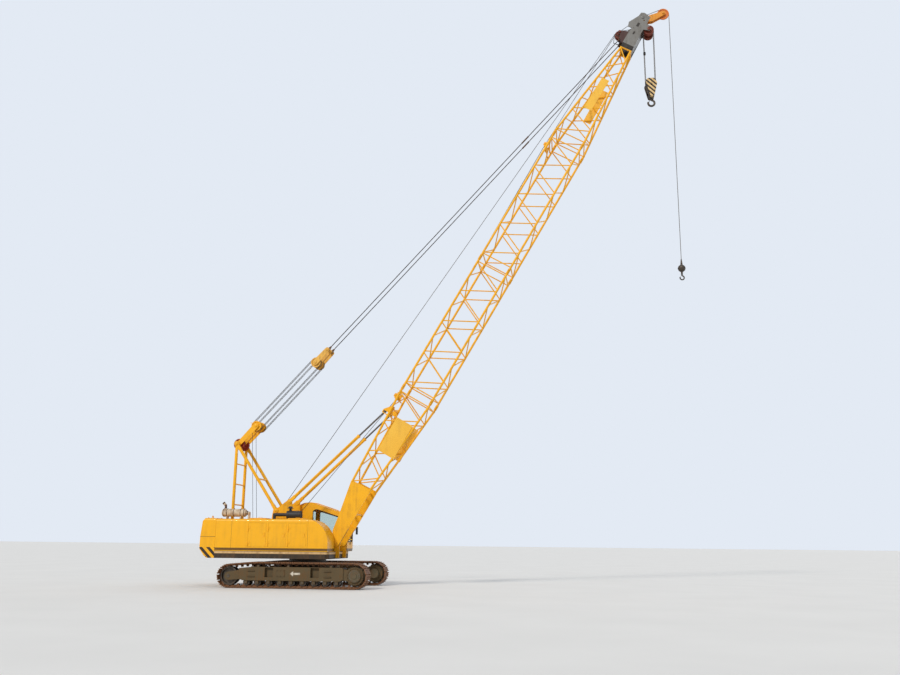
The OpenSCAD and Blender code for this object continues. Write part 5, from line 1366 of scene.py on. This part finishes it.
block_paint = banded(
    "block_cream", ("#dcb778", "#e8cb98", "#4b3a28"), [(stripes_and_painted_shade, "#2a211c")], scale=3.0, dirt_share=0.5,
)
dress(block_paint, "hook_block")
pin_ends("block_pin_ends", [((HOOK_X, 0, HOOK_Z), 0.215, 0.045)], block_paint, "main_hook", "boom_yellow")
FALL = HEAD_R + ROPE_R + 0.0003
half_turn = [pi * i / 15 for i in range(16)]
for side, end in SIDES:
    y = side * FALL_Y
    points = [(HOOK_X + FALL * cos(a), y, HOOK_Z + HOOK_DROP + FALL * sin(a)) for a in half_turn]
    points += [(HOOK_X - BLOCK_R * cos(a), y, HOOK_Z - BLOCK_R * sin(a)) for a in half_turn]
    loop = rope("main_falls_" + end, points, FALL_R, 2, closed=True)
    fitted(loop, rope_wire, "main_hook", "bare_steel", sharp=60)
hook_steel = worn(
    "hook_steel", "#45403b", "#5b544c", "#4a3222", dirt_share=0.5, chips=0.4, dull=0.42, scale=4.0, metal=0.6,
)
dress(hook_steel, "main_hook", "aux_hook")


def latch(name, x, z, bowl, wire, body):
    """Wire latch from the shank to the tip, on a hook whose shank starts at z."""
    middle, reach = z - 2 * wire - bowl, bowl - wire * 0.2
    tip = x + reach * cos(radians(152)), middle + reach * sin(radians(152))
    root = x - wire * 0.75, middle + bowl + wire * 0.9
    bent = [(end[0], wire * y, end[1]) for end, y in ((root, 0.9), (tip, 0.55), (tip, -0.55), (root, -0.9))]
    spring = ring("latch_spring", (root[0], 0, root[1]), (0, 1, 0), wire * 0.3, wire * 0.16, wire * 2.1, 18)
    nut = turned("swivel_nut", (x, 0, z + 0.012), (x, 0, z - 0.006), wire * 1.7, wire * 1.45, 24)
    fixed(name, [rope("wire", bent, wire * 0.14), spring, nut], hook_steel, body, "bare_steel")


latch("main_latch", HOOK_X, HOOK_Z - 0.59, 0.13, 0.042, "main_hook")
spots = [
    ((HOOK_X + x, side * 0.21, HOOK_Z + z), (0, side, 0), 0.8)
    for side in (-1, 1) for half, z in ((0.13, -0.29), (0.06, -0.47), (0.11, 0.18)) for x in (-half, half)
]
bolt_rows("block_bolts", spots, block_paint, "main_hook", "boom_yellow")
# Black weight of the hoist limit switch on the rear fall, on its thin wire
WEIGHT_Z, FALL_X = 22.0, HOOK_X - 0.2095
weight = turned("limit_weight", (FALL_X, -FALL_Y, WEIGHT_Z - 0.07), (FALL_X, -FALL_Y, WEIGHT_Z + 0.07), 0.05, 0.05, 24)
wire = rope("limit_wire", [
    (FALL_X + x, y, WEIGHT_Z + z) for x, y, z in ((-0.035, -FALL_Y, 0.06), (-0.035, -FALL_Y, 0.72), (0.06, -0.06, 0.94))
], 0.004)
fixed("limit_weight", [eased(weight, 0.018, 2), wire], seal_rubber, "main_hook", "black_plastic")

# Auxiliary hook
# A ball weight with a wedge socket on top and a swivel hook below it hangs on
# the single fall of the auxiliary rope.
TIP_X, TIP_Z = on_boom(*TIP).x, on_boom(*TIP).z
reach = TIP_R + ROPE_R
BALL_X, BALL_Z = TIP_X + reach + 0.0003, TIP_Z - 11.4


def on_ball(z, y=0.0):
    """A point on the ball's axis or beside it, up from its middle."""
    return BALL_X, y, BALL_Z + z


points = [(TIP_X + reach * cos(a), 0, TIP_Z + reach * sin(a)) for a in (radians(124 - 8 * i) for i in range(16))]
run_out("aux_fall", points + [on_ball(0.3)], rope_wire, FALL_R, 2, "aux_hook")
turned("socket", on_ball(0.13), on_ball(0.38), 0.05, 0.022, 20)
socket = pressed(facing_up, 0.005, (0, 0, -0.01))
seam = ring("ball_seam", on_ball(0.0), (0, 0, 1), 0.1495, 0.006, 0.02, 48)
wedge_pin = turned("wedge_pin", on_ball(0.2, -0.065), on_ball(0.2, 0.065), 0.016)
fixed("ball_socket", [socket, seam, wedge_pin], hook_steel, "aux_hook", "bare_steel")
latch("aux_latch", BALL_X, BALL_Z - 0.26, 0.08, 0.026, "aux_hook")
for pattern in (bolt, end_plate, chord_pin):
    bpy.data.objects.remove(pattern)
